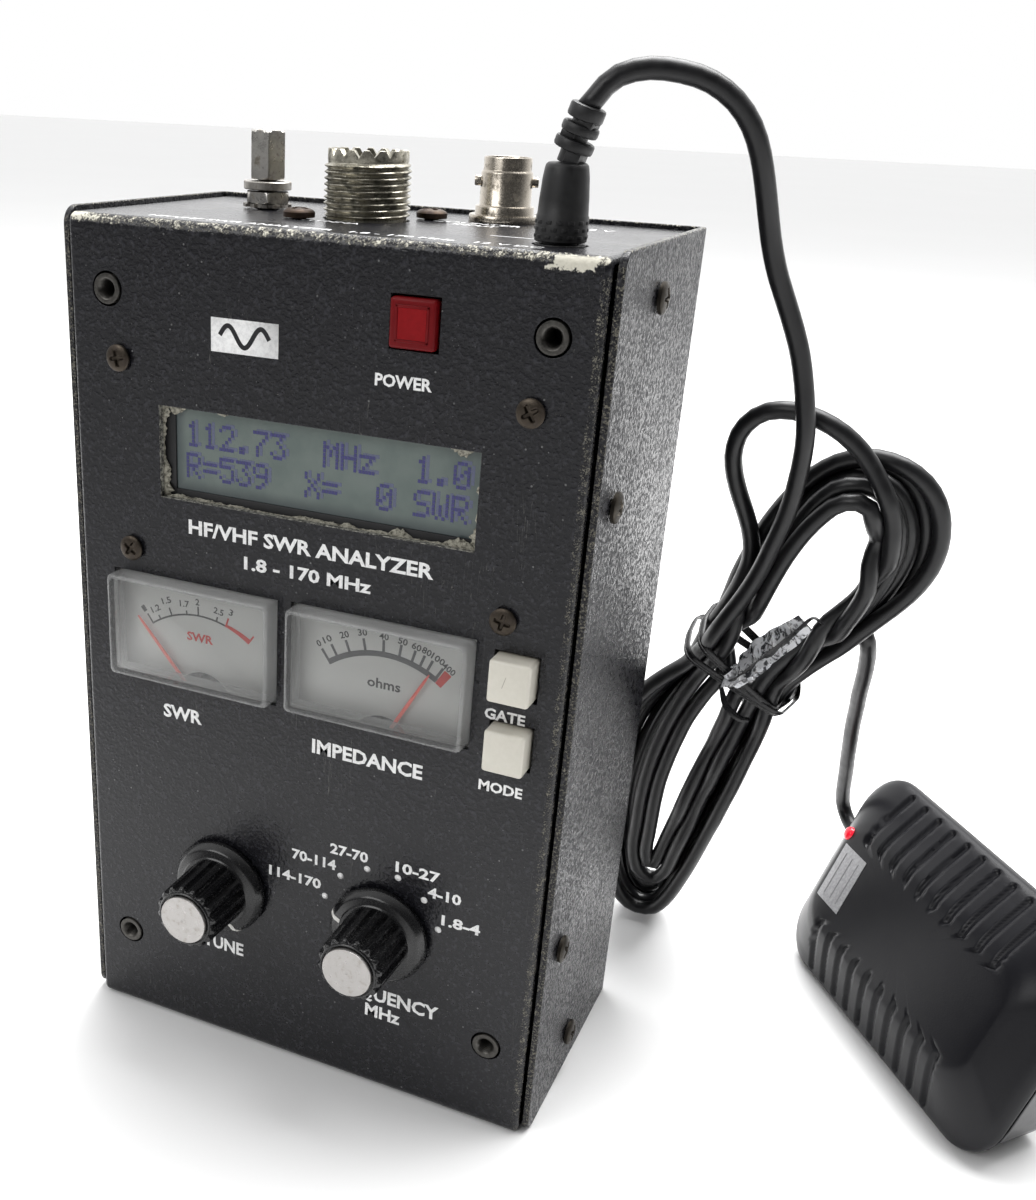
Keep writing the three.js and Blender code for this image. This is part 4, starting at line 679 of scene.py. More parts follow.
def outline(l, h, r, step=0.45):
    """Rounded rectangle with even points, the same count for every size (by share of each part)."""
    pts = []
    for (cx, cy, a0), (dx, dy), side, cnt in (((l / 2 - r, -h / 2 + r, -90), (1, 0), h - 2 * r, 34), ((l / 2 - r, h / 2 - r, 0), (0, 1), l - 2 * r, 150),
                                              ((-l / 2 + r, h / 2 - r, 90), (-1, 0), h - 2 * r, 34), ((-l / 2 + r, -h / 2 + r, 180), (0, -1), l - 2 * r, 150)):
        for k in range(14):
            t = math.radians(a0 + 90 * k / 14)
            pts.append((cx + r * math.cos(t), cy + r * math.sin(t)))
        t = math.radians(a0 + 90)
        ex, ey = cx + r * math.cos(t), cy + r * math.sin(t)
        ux, uy = -math.sin(t), math.cos(t)
        for k in range(cnt):
            pts.append((ex + ux * side * k / cnt, ey + uy * side * k / cnt))
    return pts


def hermite(keys, t):
    """Smooth value through keys [(t, v...)]."""
    n = len(keys)
    i = max(0, min(n - 2, sum(1 for k in keys if k[0] <= t) - 1))
    t0, t1 = keys[i][0], keys[i + 1][0]
    u = (t - t0) / (t1 - t0)
    out = []
    for c in range(1, len(keys[0])):
        p0, p1 = keys[i][c], keys[i + 1][c]
        def slope(j):
            if j <= 0: return (keys[1][c] - keys[0][c]) / (keys[1][0] - keys[0][0])
            if j >= n - 1: return (keys[-1][c] - keys[-2][c]) / (keys[-1][0] - keys[-2][0])
            s0 = (keys[j][c] - keys[j - 1][c]) / (keys[j][0] - keys[j - 1][0])
            s1 = (keys[j + 1][c] - keys[j][c]) / (keys[j + 1][0] - keys[j][0])
            return 0 if s0 * s1 <= 0 else 2 * s0 * s1 / (s0 + s1)
        m0, m1 = slope(i) * (t1 - t0), slope(i + 1) * (t1 - t0)
        out.append((2 * u ** 3 - 3 * u * u + 1) * p0 + (u ** 3 - 2 * u * u + u) * m0 + (-2 * u ** 3 + 3 * u * u) * p1 + (u ** 3 - u * u) * m1)
    return out


FKEYS = [(0.0, 79.4, 51.1, 9.8, 0.15), (0.05, 80.0, 51.7, 10.0, 0.35), (0.12, 79.8, 51.5, 10.0, 1.3), (0.24, 78.4, 49.6, 9.9, 2.6), (0.45, 73.9, 43.2, 9.4, 4.55), (0.68, 68.0, 34.4, 8.6, 6.9),
         (0.82, 64.4, 29.0, 8.0, 8.15), (0.93, 61.6, 25.0, 7.4, 8.75), (1.0, 59.4, 22.0, 6.8, 8.88)]
GROOVES = [-24.4 + 5.35 * k for k in range(10)]


def groove_depth(x, y, n):
    """Depth of the louvre slots at a place on the shoulder."""
    s = abs(y)
    d = 0.0
    if 9.5 < s < 26:
        for gx in GROOVES:
            top = gx - (s - 12) * 0.10
            dx = x - top
            if abs(dx) < 1.5:
                w = 0.62
                e0, e1 = 11.3, 23.9
                ly = 0 if e0 < s < e1 else min(abs(s - e0), abs(s - e1))
                rr = math.hypot(dx * (1.0 if dx > 0 else 1.0), ly)
                k = max(0.0, min(1.0, (w + 0.35 - rr) / 0.55))
                d = max(d, k * k * (3 - 2 * k) * 0.85)
                # soft scoop on one side of each slot, as a louvre has
                q = max(0.0, min(1.0, (1.5 - abs(dx - 0.9)) / 1.2)) * (1 if e0 < s < e1 else max(0, 1 - ly))
                d = max(d, q * 0.16)
    return d


g = Geo()
rings = []
T = [0, 0.03, 0.06, 0.09, 0.12] + [0.12 + 0.88 * k / 46 for k in range(1, 47)]
for t in T:
    l, h, r, n = hermite(FKEYS, t)
    ring = []
    for x, y in outline(l, h, r):
        d = groove_depth(x, y, n)
        # slope normal in the section, roughly outward and up
        sy = (1 if y > 0 else -1)
        ring.append((x, y - sy * d * 0.55, n - d * 0.85))
    rings.append(ring)
for k in (0.93, 0.84, 0.7, 0.45, 0.15):
    rings.append([(x * (1 - (1 - k) * 0.97) if False else x * k, y * k, 8.9 + 0.10 * (1 - k * k)) for x, y, _ in rings[len(T) - 1]])
g.rings(rings, 0, AM)
adapter_m = Mat("adapter_plastic", spec=0.22)
n1 = adapter_m.noise(2.6, 2.0, 0.6)
n2 = adapter_m.noise(0.05, 3.0, 0.6)
ap = adapter_m.finish(adapter_m.mix(n2, (0.0055, 0.0055, 0.0072), (0.0095, 0.0095, 0.0115)), adapter_m.rng(n2, 0.3, 0.7, 0.28, 0.35), None,
                      adapter_m.bump(n1, 0.018))
ad_front = g.make("adapter_shell_front", ap, "case", "adapter_plastic", ("adapter_front",), 60)

g = Geo()
k = A["base"] * math.tan(LEAN)
rings = []
for l, h, r, n in ((A["L"] - 2 * k - 6, A["H"] - 2 * k - 6, A["r"] - 5, -A["base"]), (A["L"] - 2 * k - 2.0, A["H"] - 2 * k - 2.0, A["r"] - 3.6, -A["base"]), (A["L"] - 2 * k - 0.6, A["H"] - 2 * k - 0.6, A["r"] - 3.1, -A["base"] + 0.35),
                   (A["L"] - 2 * k + 0.55, A["H"] - 2 * k + 0.55, A["r"] - 2.8, -A["base"] + 1.2), (A["L"] - 0.9 - 0.2, A["H"] - 0.9 - 0.2, A["r"], -1.2), (A["L"] - 0.35, A["H"] - 0.35, A["r"], -0.45),
                   (A["L"] - 0.4, A["H"] - 0.4, A["r"], -0.28), (A["L"] - 1.0, A["H"] - 1.0, A["r"] - 0.3, -0.16), (A["L"] - 3.0, A["H"] - 3.0, A["r"] - 1.2, -0.16)):
    rings.append([(x, y, n) for x, y in outline(l, h, r)][::3])
g.rings(rings, 0, AM)
# tongue that fills the parting line
rings = [[(x, y, n) for x, y in outline(A["L"] - 2.0, A["H"] - 2.0, A["r"] - 1)][::3] for n in (-0.6, 0.9)]
g.rings(rings, 0, AM)
# raised ring round the blades
g.box(-19.5, -4.5, -9, 9, -A["base"] - 0.5, -A["base"] + 0.5, 0, 0.3, 2, AM)
ad_base = g.make("adapter_shell_base", ap, "case", "adapter_plastic", ("adapter_base",), 40)

brass = metal("brass_blades", (0.50, 0.37, 0.15), (0.62, 0.49, 0.24), 0.28, (0.2, 0.13, 0.05), 0.35, 0.4)
g = Geo()
for s in (-1, 1):
    X = s * 6.35 - 12
    z0, z1 = -A["base"] - 15.85, -A["base"] - 0.35
    out = [(X - 0.75, -3.17), (X + 0.75, -3.17), (X + 0.75, 3.17), (X - 0.75, 3.17)]
    g.rings([[(X + (x - X) * f, y * f2, z) for x, y in out] for f, f2, z in ((0.35, 0.80, z0), (0.8, 0.95, z0 + 0.5), (1, 1, z0 + 1.3), (1, 1, z1))], 0, AM)
prongs = g.make("adapter_blades", brass, "case", "brass_prongs", ("adapter_prong_1", "adapter_prong_2"), 30)

# painted glow: the red lens is made to shine by itself
led_glow_q = Mat("led_red_painted_glow", (0.55, 0.008, 0.02), 0.22, spec=0.6)
lr = led_glow_q.noise(0.9, 2.0)
led_glow_q.set("Emission Color", led_glow_q.mix(lr, (0.9, 0.005, 0.03), (1.0, 0.02, 0.05)))
led_glow_q.set("Emission Strength", 0.55)
led_glow_mat = led_glow_q.finish(led_glow_q.mix(lr, (0.5, 0.006, 0.02), (0.66, 0.012, 0.03)), 0.2)
g = Geo()
LM = AM @ Matrix.Translation((-31.3, 9.4, 7.6)) @ Matrix.Rotation(math.radians(-16), 4, "Y")
g.lathe([(0, -0.6), (1.65, -0.6), (1.65, 0.75), (1.52, 1.15), (1.2, 1.5), (0.7, 1.74), (0, 1.82)], 32, 0, LM)
led = g.make("adapter_led", led_glow_mat, "case", None, (), 50)

st_m = Mat("sticker_silver", spec=0.5, metal=0.35)
s1 = st_m.noise(1.5, 4.0, 0.6)
st = st_m.finish(st_m.mix(st_m.rng(s1, 0.35, 0.7), (0.30, 0.30, 0.31), (0.40, 0.40, 0.41)), st_m.rng(s1, 0.3, 0.7, 0.28, 0.42), None, st_m.bump(s1, 0.02))
st_edge = Mat("sticker_border", (0.2, 0.2, 0.205), 0.4)
sv = st_edge.noise(2.0)
st_e = st_edge.finish(st_edge.mix(sv, (0.17, 0.17, 0.18), (0.26, 0.26, 0.265)), 0.4)
g = Geo()
cx, cy, w, h = -25.4, 0.3, 4.6, 7.1
n_at = lambda x, y: 8.93 + 0.03 + (0.02 if abs(x) < 28 else 0.0)
cols, rws = 10, 8
v, f = [], []
for lay in (0, 1):
    for j in range(rws + 1):
        for i in range(cols + 1):
            X, Y = cx - w + 2 * w * i / cols, cy - h + 2 * h * j / rws
            over = max(0.0, abs(X) - 28.6)
            v.append((X, Y, 8.90 + 0.1 * (1 - (X / 30) ** 2) * 0.5 - over * 0.07 + (0.12 if lay else -0.25)))
N = (cols + 1) * (rws + 1)
for j in range(rws):
    for i in range(cols):
        a = j * (cols + 1) + i
        f.append((a + cols + 1, a + cols + 2, a + 1, a))
        f.append((N + a, N + a + 1, N + a + cols + 2, N + a + cols + 1))
edge = [i for i in range(cols + 1)] + [(j + 1) * (cols + 1) - 1 for j in range(1, rws + 1)] + [rws * (cols + 1) + i for i in range(cols - 1, -1, -1)] + [j * (cols + 1) for j in range(rws - 1, 0, -1)]
for a, b in zip(edge, edge[1:] + edge[:1]):
    f.append((a, b, N + b, N + a))
g.add(v, f, 0, AM)
for k in range(3):      # plain ruled lines, no wording
    X = cx - 2.6 + k * 2.6
    g.box(X - 0.13, X + 0.13, cy - h + 1.6, cy + h - 1.6, 8.9, 9.085, 1, 0, 1, AM)
sticker = g.make("adapter_sticker", [st, st_e], "case", None, (), 40)

# tie round the waist of the bundle, with its twisted ends
W = Vector((0, -1, -0.33)).normalized()
U = Vector((1, 0, 0))
Vv = W.cross(U)
HO = Vector((0, 66, 0))
plane = lambda x, s, w=0.0: HO + U * x + Vv * s + W * w


def hull(points):
    pts = sorted(set(points))
    def half(ps):
        h = []
        for p in ps:
            while len(h) > 1 and (h[-1][0] - h[-2][0]) * (p[1] - h[-2][1]) - (h[-1][1] - h[-2][1]) * (p[0] - h[-2][0]) <= 0:
                h.pop()
            h.append(p)
        return h[:-1]
    return half(pts) + half(pts[::-1])


def wrap(centre, d, w, along, offs, grow):
    """Closed tight loop round the cords where they cross a plane."""
    got = []
    for a in line:
        q = a - centre
        if abs(q.dot(along) - offs) < 2.6 and abs(q.dot(d)) < 16 and abs(q.dot(w)) < 14:
            for k in range(10):
                t = 2 * math.pi * k / 10
                got.append((q.dot(d) + (CORD_R + grow) * math.cos(t), q.dot(w) + (CORD_R + grow) * math.sin(t)))
    h = hull(got)
    loop = []
    for (x0, y0), (x1, y1) in zip(h, h[1:] + h[:1]):
        n = max(1, int(math.hypot(x1 - x0, y1 - y0) / 0.7))
        loop += [(x0 + (x1 - x0) * k / n, y0 + (y1 - y0) * k / n) for k in range(n)]
    for _ in range(2):
        m = len(loop)
        loop = [((loop[i - 1][0] + 2 * loop[i][0] + loop[(i + 1) % m][0]) / 4, (loop[i - 1][1] + 2 * loop[i][1] + loop[(i + 1) % m][1]) / 4) for i in range(m)]
    return loop


tie_m = Mat("tie_black", spec=0.35)
tn = tie_m.noise(1.1, 3.0, 0.6)
tie_b = tie_m.finish(tie_m.mix(tn, (0.006, 0.006, 0.007), (0.014, 0.014, 0.015)), tie_m.rng(tn, 0.3, 0.7, 0.22, 0.36), None, tie_m.bump(tn, 0.06))
# the clear film's colour is painted: its near-white noise patches are painted highlights, not a colour of the plastic
film_m = Mat("tie_film", spec=0.7, coat=0.6)
fn = film_m.noise(0.55, 3.0, 0.6, None, 1.2)
film = film_m.finish(film_m.mix(film_m.rng(fn, 0.40, 0.52), (0.05, 0.052, 0.058), (0.86, 0.87, 0.90)), 0.12, None, film_m.bump(film_m.noise(0.9, 3.0), 0.25))
TC = Vector((69.54, 38.42, 83.57))
TD = (plane(77.4, 78.0) - plane(60.4, 91.7)).normalized()
TA = TD.cross(W).normalized()
tie_parts = []
g = Geo()
for offs, grow, tilt in ((-1.0, 0.35, 0.10), (1.4, 0.42, -0.13)):
    lp = wrap(TC, TD, W, TA, offs, grow)
    n = len(lp)
    rings = []
    for i, (x, y) in enumerate(lp):
        nx, ny = lp[(i + 1) % n][1] - lp[i - 1][1], lp[i - 1][0] - lp[(i + 1) % n][0]
        L = math.hypot(nx, ny) or 1
        nx, ny = nx / L, ny / L
        base = TC + TD * x + W * y + TA * (offs + tilt * x)
        o = TD * nx + W * ny
        half = 1.05
        ring = []
        for u, t in ((-half, 0.0), (-half * 0.8, 0.22), (-0.35, 0.16), (0.0, 0.42), (0.35, 0.16), (half * 0.8, 0.22), (half, 0.0), (0, -0.12)):
            ring.append(tuple(base + TA * u + o * t))
        rings.append(ring)
    rings.append(rings[0])
    g.rings(rings, 0, None, (False, False))
tie = g.make("tie_band", tie_b, "case", None, (), 50)
tie_parts.append(tie)


def ribbon(geo, pts, width, thick, side, mat=0, wave=0.0, twist=0.0):
    """Flat strip along points; side is the direction of its width at the start."""
    P = catmull([tuple(p) for p in pts], 0.5)
    s = Vector(side).normalized()
    rings = []
    for i, p in enumerate(P):
        t = (P[min(i + 1, len(P) - 1)] - P[max(i - 1, 0)]).normalized()
        s = (s - t * s.dot(t)).normalized()
        if twist:
            s = (Matrix.Rotation(twist / len(P), 3, t) @ s).normalized()
        o = t.cross(s)
        w = width * (0.62 + 0.38 * math.sin(math.pi * min(1, 0.12 + 0.9 * i / len(P)))) / 2
        q = p + o * wave * math.sin(i * 0.55)
        c = q + o * (thick * 0.9)
        rings.append([tuple(q - s * w), tuple(q - s * w * 0.5 + o * thick * 0.6), tuple(c), tuple(q + s * w * 0.5 + o * thick * 0.6), tuple(q + s * w), tuple(q + s * w * 0.5 - o * thick * 0.2), tuple(q), tuple(q - s * w * 0.5 - o * thick * 0.2)])
    geo.rings(rings, mat)


fr = lambda x, s, w: plane(x, s, w)
g = Geo()
ribbon(g, [fr(67.5, 88.0, 6.6), fr(70.0, 92.0, 8.4), fr(73.0, 97.0, 9.3), fr(76.2, 101.0, 9.2), fr(79.4, 105.0, 9.6), fr(82.2, 109.0, 9.8)], 6.4, 0.3, (0.5, 0.1, 0.9), 0, 0.38, 1.3)
ribbon(g, [fr(67.0, 87.2, 6.2), fr(69.6, 90.0, 8.6), fr(73.4, 94.6, 8.6), fr(76.4, 99.0, 8.9), fr(79.6, 102.6, 8.4)], 4.2, 0.3, (0.7, 0.3, -0.5), 0, 0.42, -1.0)
film_ob = g.make("tie_film", film, "case", None, (), 60)
g = Geo()
ribbon(g, [fr(67.0, 86.0, 6.0), fr(70.8, 92.0, 10.4), fr(75.6, 99.0, 10.6), fr(80.6, 106.6, 10.6), fr(83.4, 110.6, 10.4), fr(85.4, 109.4, 10.2)], 1.7, 0.5, (0.8, -0.5, 0.1), 0, 0.05, 0.8)
ribbon(g, [fr(66.6, 85.8, 6.0), fr(68.6, 82.6, 8.4), fr(71.4, 80.2, 8.8), fr(73.6, 79.6, 8.2)], 1.7, 0.5, (0.3, 0.8, 0.1), 0, 0.05, 0.6)
tie_tail = g.make("tie_ends", tie_b, "case", None, (), 60)
tie_parts += [film_ob, tie_tail]


def inside(p, poly):
    c, j = False, len(poly) - 1
    for i in range(len(poly)):
        (xi, yi), (xj, yj) = poly[i], poly[j]
        if (yi > p[1]) != (yj > p[1]) and p[0] < (xj - xi) * (p[1] - yi) / (yj - yi) + xi:
            c = not c
        j = i
    return c


def bent_sheet(name, mat, P, outline, holes, lines, thick, edge, hole_edge, node, steps=5, extra=()):
    """A bent sheet with rounded edges. P(u, v, depth) gives the place of a point of the flat pattern; outline(inset) and each hole(inset) give loops in it."""
    from mathutils.geometry import delaunay_2d_cdt
    bm = bmesh.new()
    seen = {}

    def vert(u, v, d):
        p = P(u, v, d)
        k = (round(p[0], 4), round(p[1], 4), round(p[2], 4))
        if k not in seen:
            seen[k] = bm.verts.new((p[0] * MM, p[1] * MM, p[2] * MM))
        return seen[k]

    def face(vs):
        vs = [a for i, a in enumerate(vs) if a is not vs[i - 1]]
        if len(set(vs)) >= 3:
            try: bm.faces.new(vs)
            except ValueError: pass

    def cap(out, cut, d, flip):
        pts, edges = [], []
        for lp in [out] + cut:
            n0 = len(pts)
            pts += [Vector(p) for p in lp]
            edges += [(n0 + i, n0 + (i + 1) % len(lp)) for i in range(len(lp))]
        for a, b in lines:
            n0 = len(pts)
            pts += [Vector(a), Vector(b)]
            edges.append((n0, n0 + 1))
        V, E_, F, _, _, _ = delaunay_2d_cdt(pts, edges, [], 0, 1e-4)
        for f in F:
            c = sum((V[i] for i in f), Vector((0, 0))) / len(f)
            if inside(c, out) and not any(inside(c, h) for h in cut):
                vs = [vert(V[i][0], V[i][1], d) for i in f]
                face(vs[::-1] if flip else vs)

    def wall(loops):
        for (A, da), (B, db) in zip(loops, loops[1:]):
            n_ = len(A)
            for i in range(n_):
                j = (i + 1) % n_
                face([vert(*A[i], da), vert(*A[j], da), vert(*B[j], db), vert(*B[i], db)])

    cap(outline(edge), [h(-hole_edge) for h in holes], 0.0, False)
    cap(outline(0.1), [h(-0.1) for h in holes], thick, True)
    ring = [(outline(edge * (1 - math.sin(math.pi / 2 * k / steps))), edge * (1 - math.cos(math.pi / 2 * k / steps))) for k in range(steps + 1)]
    ring += [(outline(0.0), max(thick - 0.1, edge)), (outline(0.1), thick)]
    wall(ring)
    for h in holes:
        ring = [(h(-hole_edge * (1 - math.sin(math.pi / 2 * k / 3))), hole_edge * (1 - math.cos(math.pi / 2 * k / 3))) for k in range(4)]
        ring += [(h(0.0), thick - 0.1), (h(-0.1), thick)]
        wall(ring)
    bmesh.ops.recalc_face_normals(bm, faces=bm.faces)
    me = bpy.data.meshes.new(name)
    bm.to_mesh(me)
    bm.free()
    if extra:
        g = Geo()
        for b in extra:
            g.box(*b, 0, 0.1, 1)
        m2 = bpy.data.meshes.new("x")
        m2.from_pydata([(x * MM, y * MM, z * MM) for x, y, z in g.v], [], g.f)
        bm = bmesh.new()
        bm.from_mesh(me)
        bm.from_mesh(m2)
        bmesh.ops.recalc_face_normals(bm, faces=bm.faces)
        bm.to_mesh(me)
        bm.free()
        bpy.data.meshes.remove(m2)
    me.materials.append(mat)
    ob = place(name, me, "case", (node,), 40)
    w = ob.modifiers.new("normals", "WEIGHTED_NORMAL")
    w.keep_sharp, w.weight = True, 100
    return ob


def rect_hole(x0, x1, v0, v1):
    return lambda i: [(x0 + i, v0 + i), (x1 - i, v0 + i), (x1 - i, v1 - i), (x0 + i, v1 - i)]


def round_hole(cx_, cv_, r, n=40):
    return lambda i: [(cx_ + (r - i) * math.cos(2 * math.pi * k / n), cv_ + (r - i) * math.sin(2 * math.pi * k / n)) for k in range(n)]


# ------------------------------------------------------------------ case
paint_c = paint_material("paint_chassis", "chassis")
paint_r = paint_material("paint_cover", "cover")
# chassis: one sheet bent round the front, its pattern measured from the back end of the bottom plate
BR, SHEET_T, YB = 1.8, 1.25, BACK_Y - 1.25 - 0.35
ARC = math.pi / 2 * BR
S0 = YB - (FRONT_Y + BR)                 # bottom plate
S1 = S0 + ARC
S2 = S1 + (TOP_Z - 2 * BR)               # front panel
S3 = S2 + ARC
S4 = S3 + S0                             # top plate


def chassis_at(x, s, d):
    if s <= S0: return (x, YB - s, d)
    if s < S1:
        t = (s - S0) / BR
        return (x, FRONT_Y + BR - (BR - d) * math.sin(t), BR - (BR - d) * math.cos(t))
    if s <= S2: return (x, FRONT_Y + d, BR + s - S1)
    if s < S3:
        t = (s - S2) / BR
        return (x, FRONT_Y + BR - (BR - d) * math.cos(t), TOP_Z - BR + (BR - d) * math.sin(t))
    return (x, FRONT_Y + BR + s - S3, TOP_Z - d)


fz = lambda z: S1 + z - BR               # front face height to pattern
ty = lambda y: S3 + y - (FRONT_Y + BR)   # top face depth to pattern
cuts = [S0 + ARC * k / 6 for k in range(7)] + [S2 + ARC * k / 6 for k in range(7)]
rows_ = sorted(cuts + [S1 + 0.4, S2 - 0.4])


def chassis_outline(i):
    w = PANEL_HALF - i
    j = min(i, 0.15)
    up = [(w, j)] + [(w, s) for s in rows_] + [(w, S4 - j)]
    return up + [(-x, s) for x, s in reversed(up)]


hs = [rect_hole(-31.5, 31.7, fz(120), fz(137.3))]
for mt in METERS.values():
    hs.append(rect_hole(mt["x0"] - 0.35, mt["x1"] + 0.35, fz(mt["z0"] - 0.35), fz(mt["z1"] + 0.35)))
for qx, qz, qw, qh in ((18.5, 156.85, 8.2, 8.2), (41.15, 99, 7.7, 8.0), (41.25, 85.55, 7.6, 8.1)):
    hs.append(rect_hole(qx - qw / 2 - 0.35, qx + qw / 2 + 0.35, fz(qz - qh / 2 - 0.35), fz(qz + qh / 2 + 0.35)))
hs += [round_hole(qx, fz(qz), 3.1) for qx, qz in ((-42, 157), (42, 157), (-42, 19.35), (42, 19.35))]
hs += [round_hole(qx, fz(KNOB_Z), 4.2) for qx in (-18.2, 18.2)]
hs += [round_hole(SO239[0], ty(SO239[1]), 8.0, 56), round_hole(BNC[0], ty(BNC[1]), 4.6), round_hole(POST[0], ty(POST[1]), 2.4), round_hole(DCIN[0], ty(DCIN[1]), 4.6)]
fl = []
for s in (-1, 1):
    a_, b_ = sorted((s * (PANEL_HALF - SHEET_T), s * (PANEL_HALF - 0.05)))
    fl += [(a_, b_, FRONT_Y + 1.3, FRONT_Y + 16, 24, 146), (a_, b_, -22, 24, TOP_Z - 15, TOP_Z - 1.3), (a_, b_, -22, 24, 1.3, 15)]
case = bent_sheet("case_front", paint_c, chassis_at, chassis_outline, hs, [((-PANEL_HALF - 1, s), (PANEL_HALF + 1, s)) for s in rows_], SHEET_T, 1.15, 0.14, "chassis", extra=fl)

# cover: left side, back and right side, with rounded front corners
YF, CR = FRONT_Y + 1.3, 1.6
L0 = BACK_Y - CR - YF
L1 = L0 + math.pi / 2 * CR
L2 = L1 + 2 * (HALF - CR)
L3 = L2 + math.pi / 2 * CR
L4 = L3 + L0


def cover_at(u, v, d):
    if u <= L0: return (-HALF + d, YF + u, v)
    if u < L1:
        t = (u - L0) / CR
        return (-HALF + CR - (CR - d) * math.cos(t), BACK_Y - CR + (CR - d) * math.sin(t), v)
    if u <= L2: return (-HALF + CR + u - L1, BACK_Y - d, v)
    if u < L3:
        t = (u - L2) / CR
        return (HALF - CR + (CR - d) * math.sin(t), BACK_Y - CR + (CR - d) * math.cos(t), v)
    return (HALF - d, BACK_Y - CR - (u - L3), v)


ccuts = [L0 + (L1 - L0) * k / 6 for k in range(7)] + [L2 + (L3 - L2) * k / 6 for k in range(7)]
ccuts = sorted(ccuts + [L0 - 0.5, L1 + 0.5, L2 - 0.5, L3 + 0.5])


def cover_outline(i):
    r, z0, z1, out = 3.2, 0.2, HEIGHT, []
    rr_ = r - i
    arc = lambda cx_, cz_, a: [(cx_ + rr_ * math.cos(math.radians(a + 90 * k / 10)), cz_ + rr_ * math.sin(math.radians(a + 90 * k / 10))) for k in range(11)]
    out += arc(r, z0 + r, 180)
    out += [(u, z0 + i) for u in ccuts]
    out += arc(L4 - r, z0 + r, 270)
    out += arc(L4 - r, z1 - r, 0)
    out += [(u, z1 - i) for u in reversed(ccuts)]
    out += arc(r, z1 - r, 90)
    return out


cover = bent_sheet("case_cover", paint_r, cover_at, cover_outline, [], [((u, -5), (u, HEIGHT + 5)) for u in ccuts], SHEET_T, 0.28, 0.1, "rear_cover", steps=3)

# ------------------------------------------------------------------ printing on the case
ink = Mat("print_white", spec=0.4)
i1 = ink.noise(1.7, 3.0, 0.65)
ink_m = ink.finish(ink.mix(ink.rng(i1, 0.3, 0.6), (0.70, 0.70, 0.70), (0.86, 0.86, 0.855)), 0.5, None, ink.bump(ink.noise(1.7, 1.0), 0.02))
g = Geo()
for s, x0, x1, z, cap in (("POWER", 11.8, 22.2, 146.1, 2.1), ("HF/VHF SWR ANALYZER", -25.4, 24.6, 113.8, 2.8), ("1.8 - 170 MHz", -13.4, 12.8, 108.9, 2.5),
                          ("SWR", -32.0, -23.0, 74.2, 2.9), ("IMPEDANCE", 1.8, 24.9, 74.4, 3.0), ("GATE", 36.0, 43.6, 90.0, 2.1), ("MODE", 36.0, 44.4, 75.6, 2.1),
                          ("TUNE", -23.2, -13.3, 21.8, 3.1), ("FREQUENCY", 7.2, 31.6, 21.5, 3.2), ("MHz", 15.6, 23.4, 17.4, 3.0),
                          ("114-170", -7.3, 4.6, 44.2, 2.3), ("70-114", -2.1, 7.8, 49.6, 2.3), ("27-70", 6.4, 14.7, 53.3, 2.3), ("10-27", 20.6, 29.9, 53.3, 2.3), ("4-10", 27.6, 34.5, 49.7, 2.3), ("1.8-4", 30.8, 38.8, 44.3, 2.3)):
    put_text(g, s, x0, x1, z, cap, weight=0.03)
FRONT = to_axis((0, FRONT_Y, 0), (0, -1, 0))
for k, a in enumerate((165, 135, 105, 75, 45, 15)):
    t = math.radians(a)
    g.lathe([(0, 0), (0.66, 0), (0.7, 0.03), (0, 0.035)], 20, 0, to_axis((17.92 + 12.77 * math.cos(t), FRONT_Y, 39.68 + 12.77 * math.sin(t)), (0, -1, 0)))
# plain emblem: a small plate with a wave across it
em = [(-20.2, 154.2), (-6.7, 154.2), (-6.7, 148.3), (-20.2, 148.3)]
g.add([(x, FRONT_Y - d, z) for d in (0.0, 0.03) for x, z in em], [(0, 1, 2, 3), (7, 6, 5, 4), (0, 4, 5, 1), (1, 5, 6, 2), (2, 6, 7, 3), (3, 7, 4, 0)])
# top face
put_text(g, "HF/VHF SWR ANALYZER   1.8 - 170 MHz   12 V DC", -35.5, 37.5, -24.6, 2.1, y=TOP_Z + 0.02, weight=0.012, top=True)
put_text(g, "ANTENNA", -16.0, -0.8, -10.8, 2.1, y=TOP_Z + 0.02, weight=0.012, top=True)
put_text(g, "COUNTER", 5.6, 23.0, 6.9, 2.2, y=TOP_Z + 0.02, weight=0.012, top=True)
put_text(g, "INPUT", 11.2, 19.6, 3.2, 2.2, y=TOP_Z + 0.02, weight=0.012, top=True)
put_text(g, "12 V", 32.6, 38.4, 12.3, 2.6, y=TOP_Z + 0.02, weight=0.012, top=True)
g.box(24.0, 32.8, -11.15, -10.75, TOP_Z, TOP_Z + 0.04)
g.box(37.6, 40.6, -11.15, -10.75, TOP_Z, TOP_Z + 0.04)
printing = g.make("case_printing", ink_m, "case", "white_plastic", (), 180, fix=False)
dark = Mat("print_black", spec=0.3)
dn = dark.noise(1.3, 2.0)
dark_m = dark.finish(dark.mix(dn, (0.008, 0.008, 0.01), (0.016, 0.016, 0.018)), 0.5)
g = Geo()
for dxo in (0.0,):
    up, lo = [], []
    for k in range(49):
        t = k / 48
        X = -18.6 + 9.9 * t
        Zc = 151.25 + 1.75 * math.sin(2 * math.pi * 1.5 * t)
        sl = 0.2
        th = 0.42
        dz = 1.75 * math.cos(2 * math.pi * 1.5 * t) * 2 * math.pi * 1.5 / 9.9
        L = math.hypot(1, dz)
        up.append((X + sl - dz / L * th, Zc + th / L))
        lo.append((X + sl + dz / L * th, Zc - th / L))
    rg = [[(u[0], FRONT_Y - 0.025, u[1]), (u[0], FRONT_Y - 0.05, u[1]), (w[0], FRONT_Y - 0.05, w[1]), (w[0], FRONT_Y - 0.025, w[1])] for u, w in zip(up, lo)]
    g.rings(rg)
wave = g.make("emblem_wave", dark_m, "case", None, (), 40)

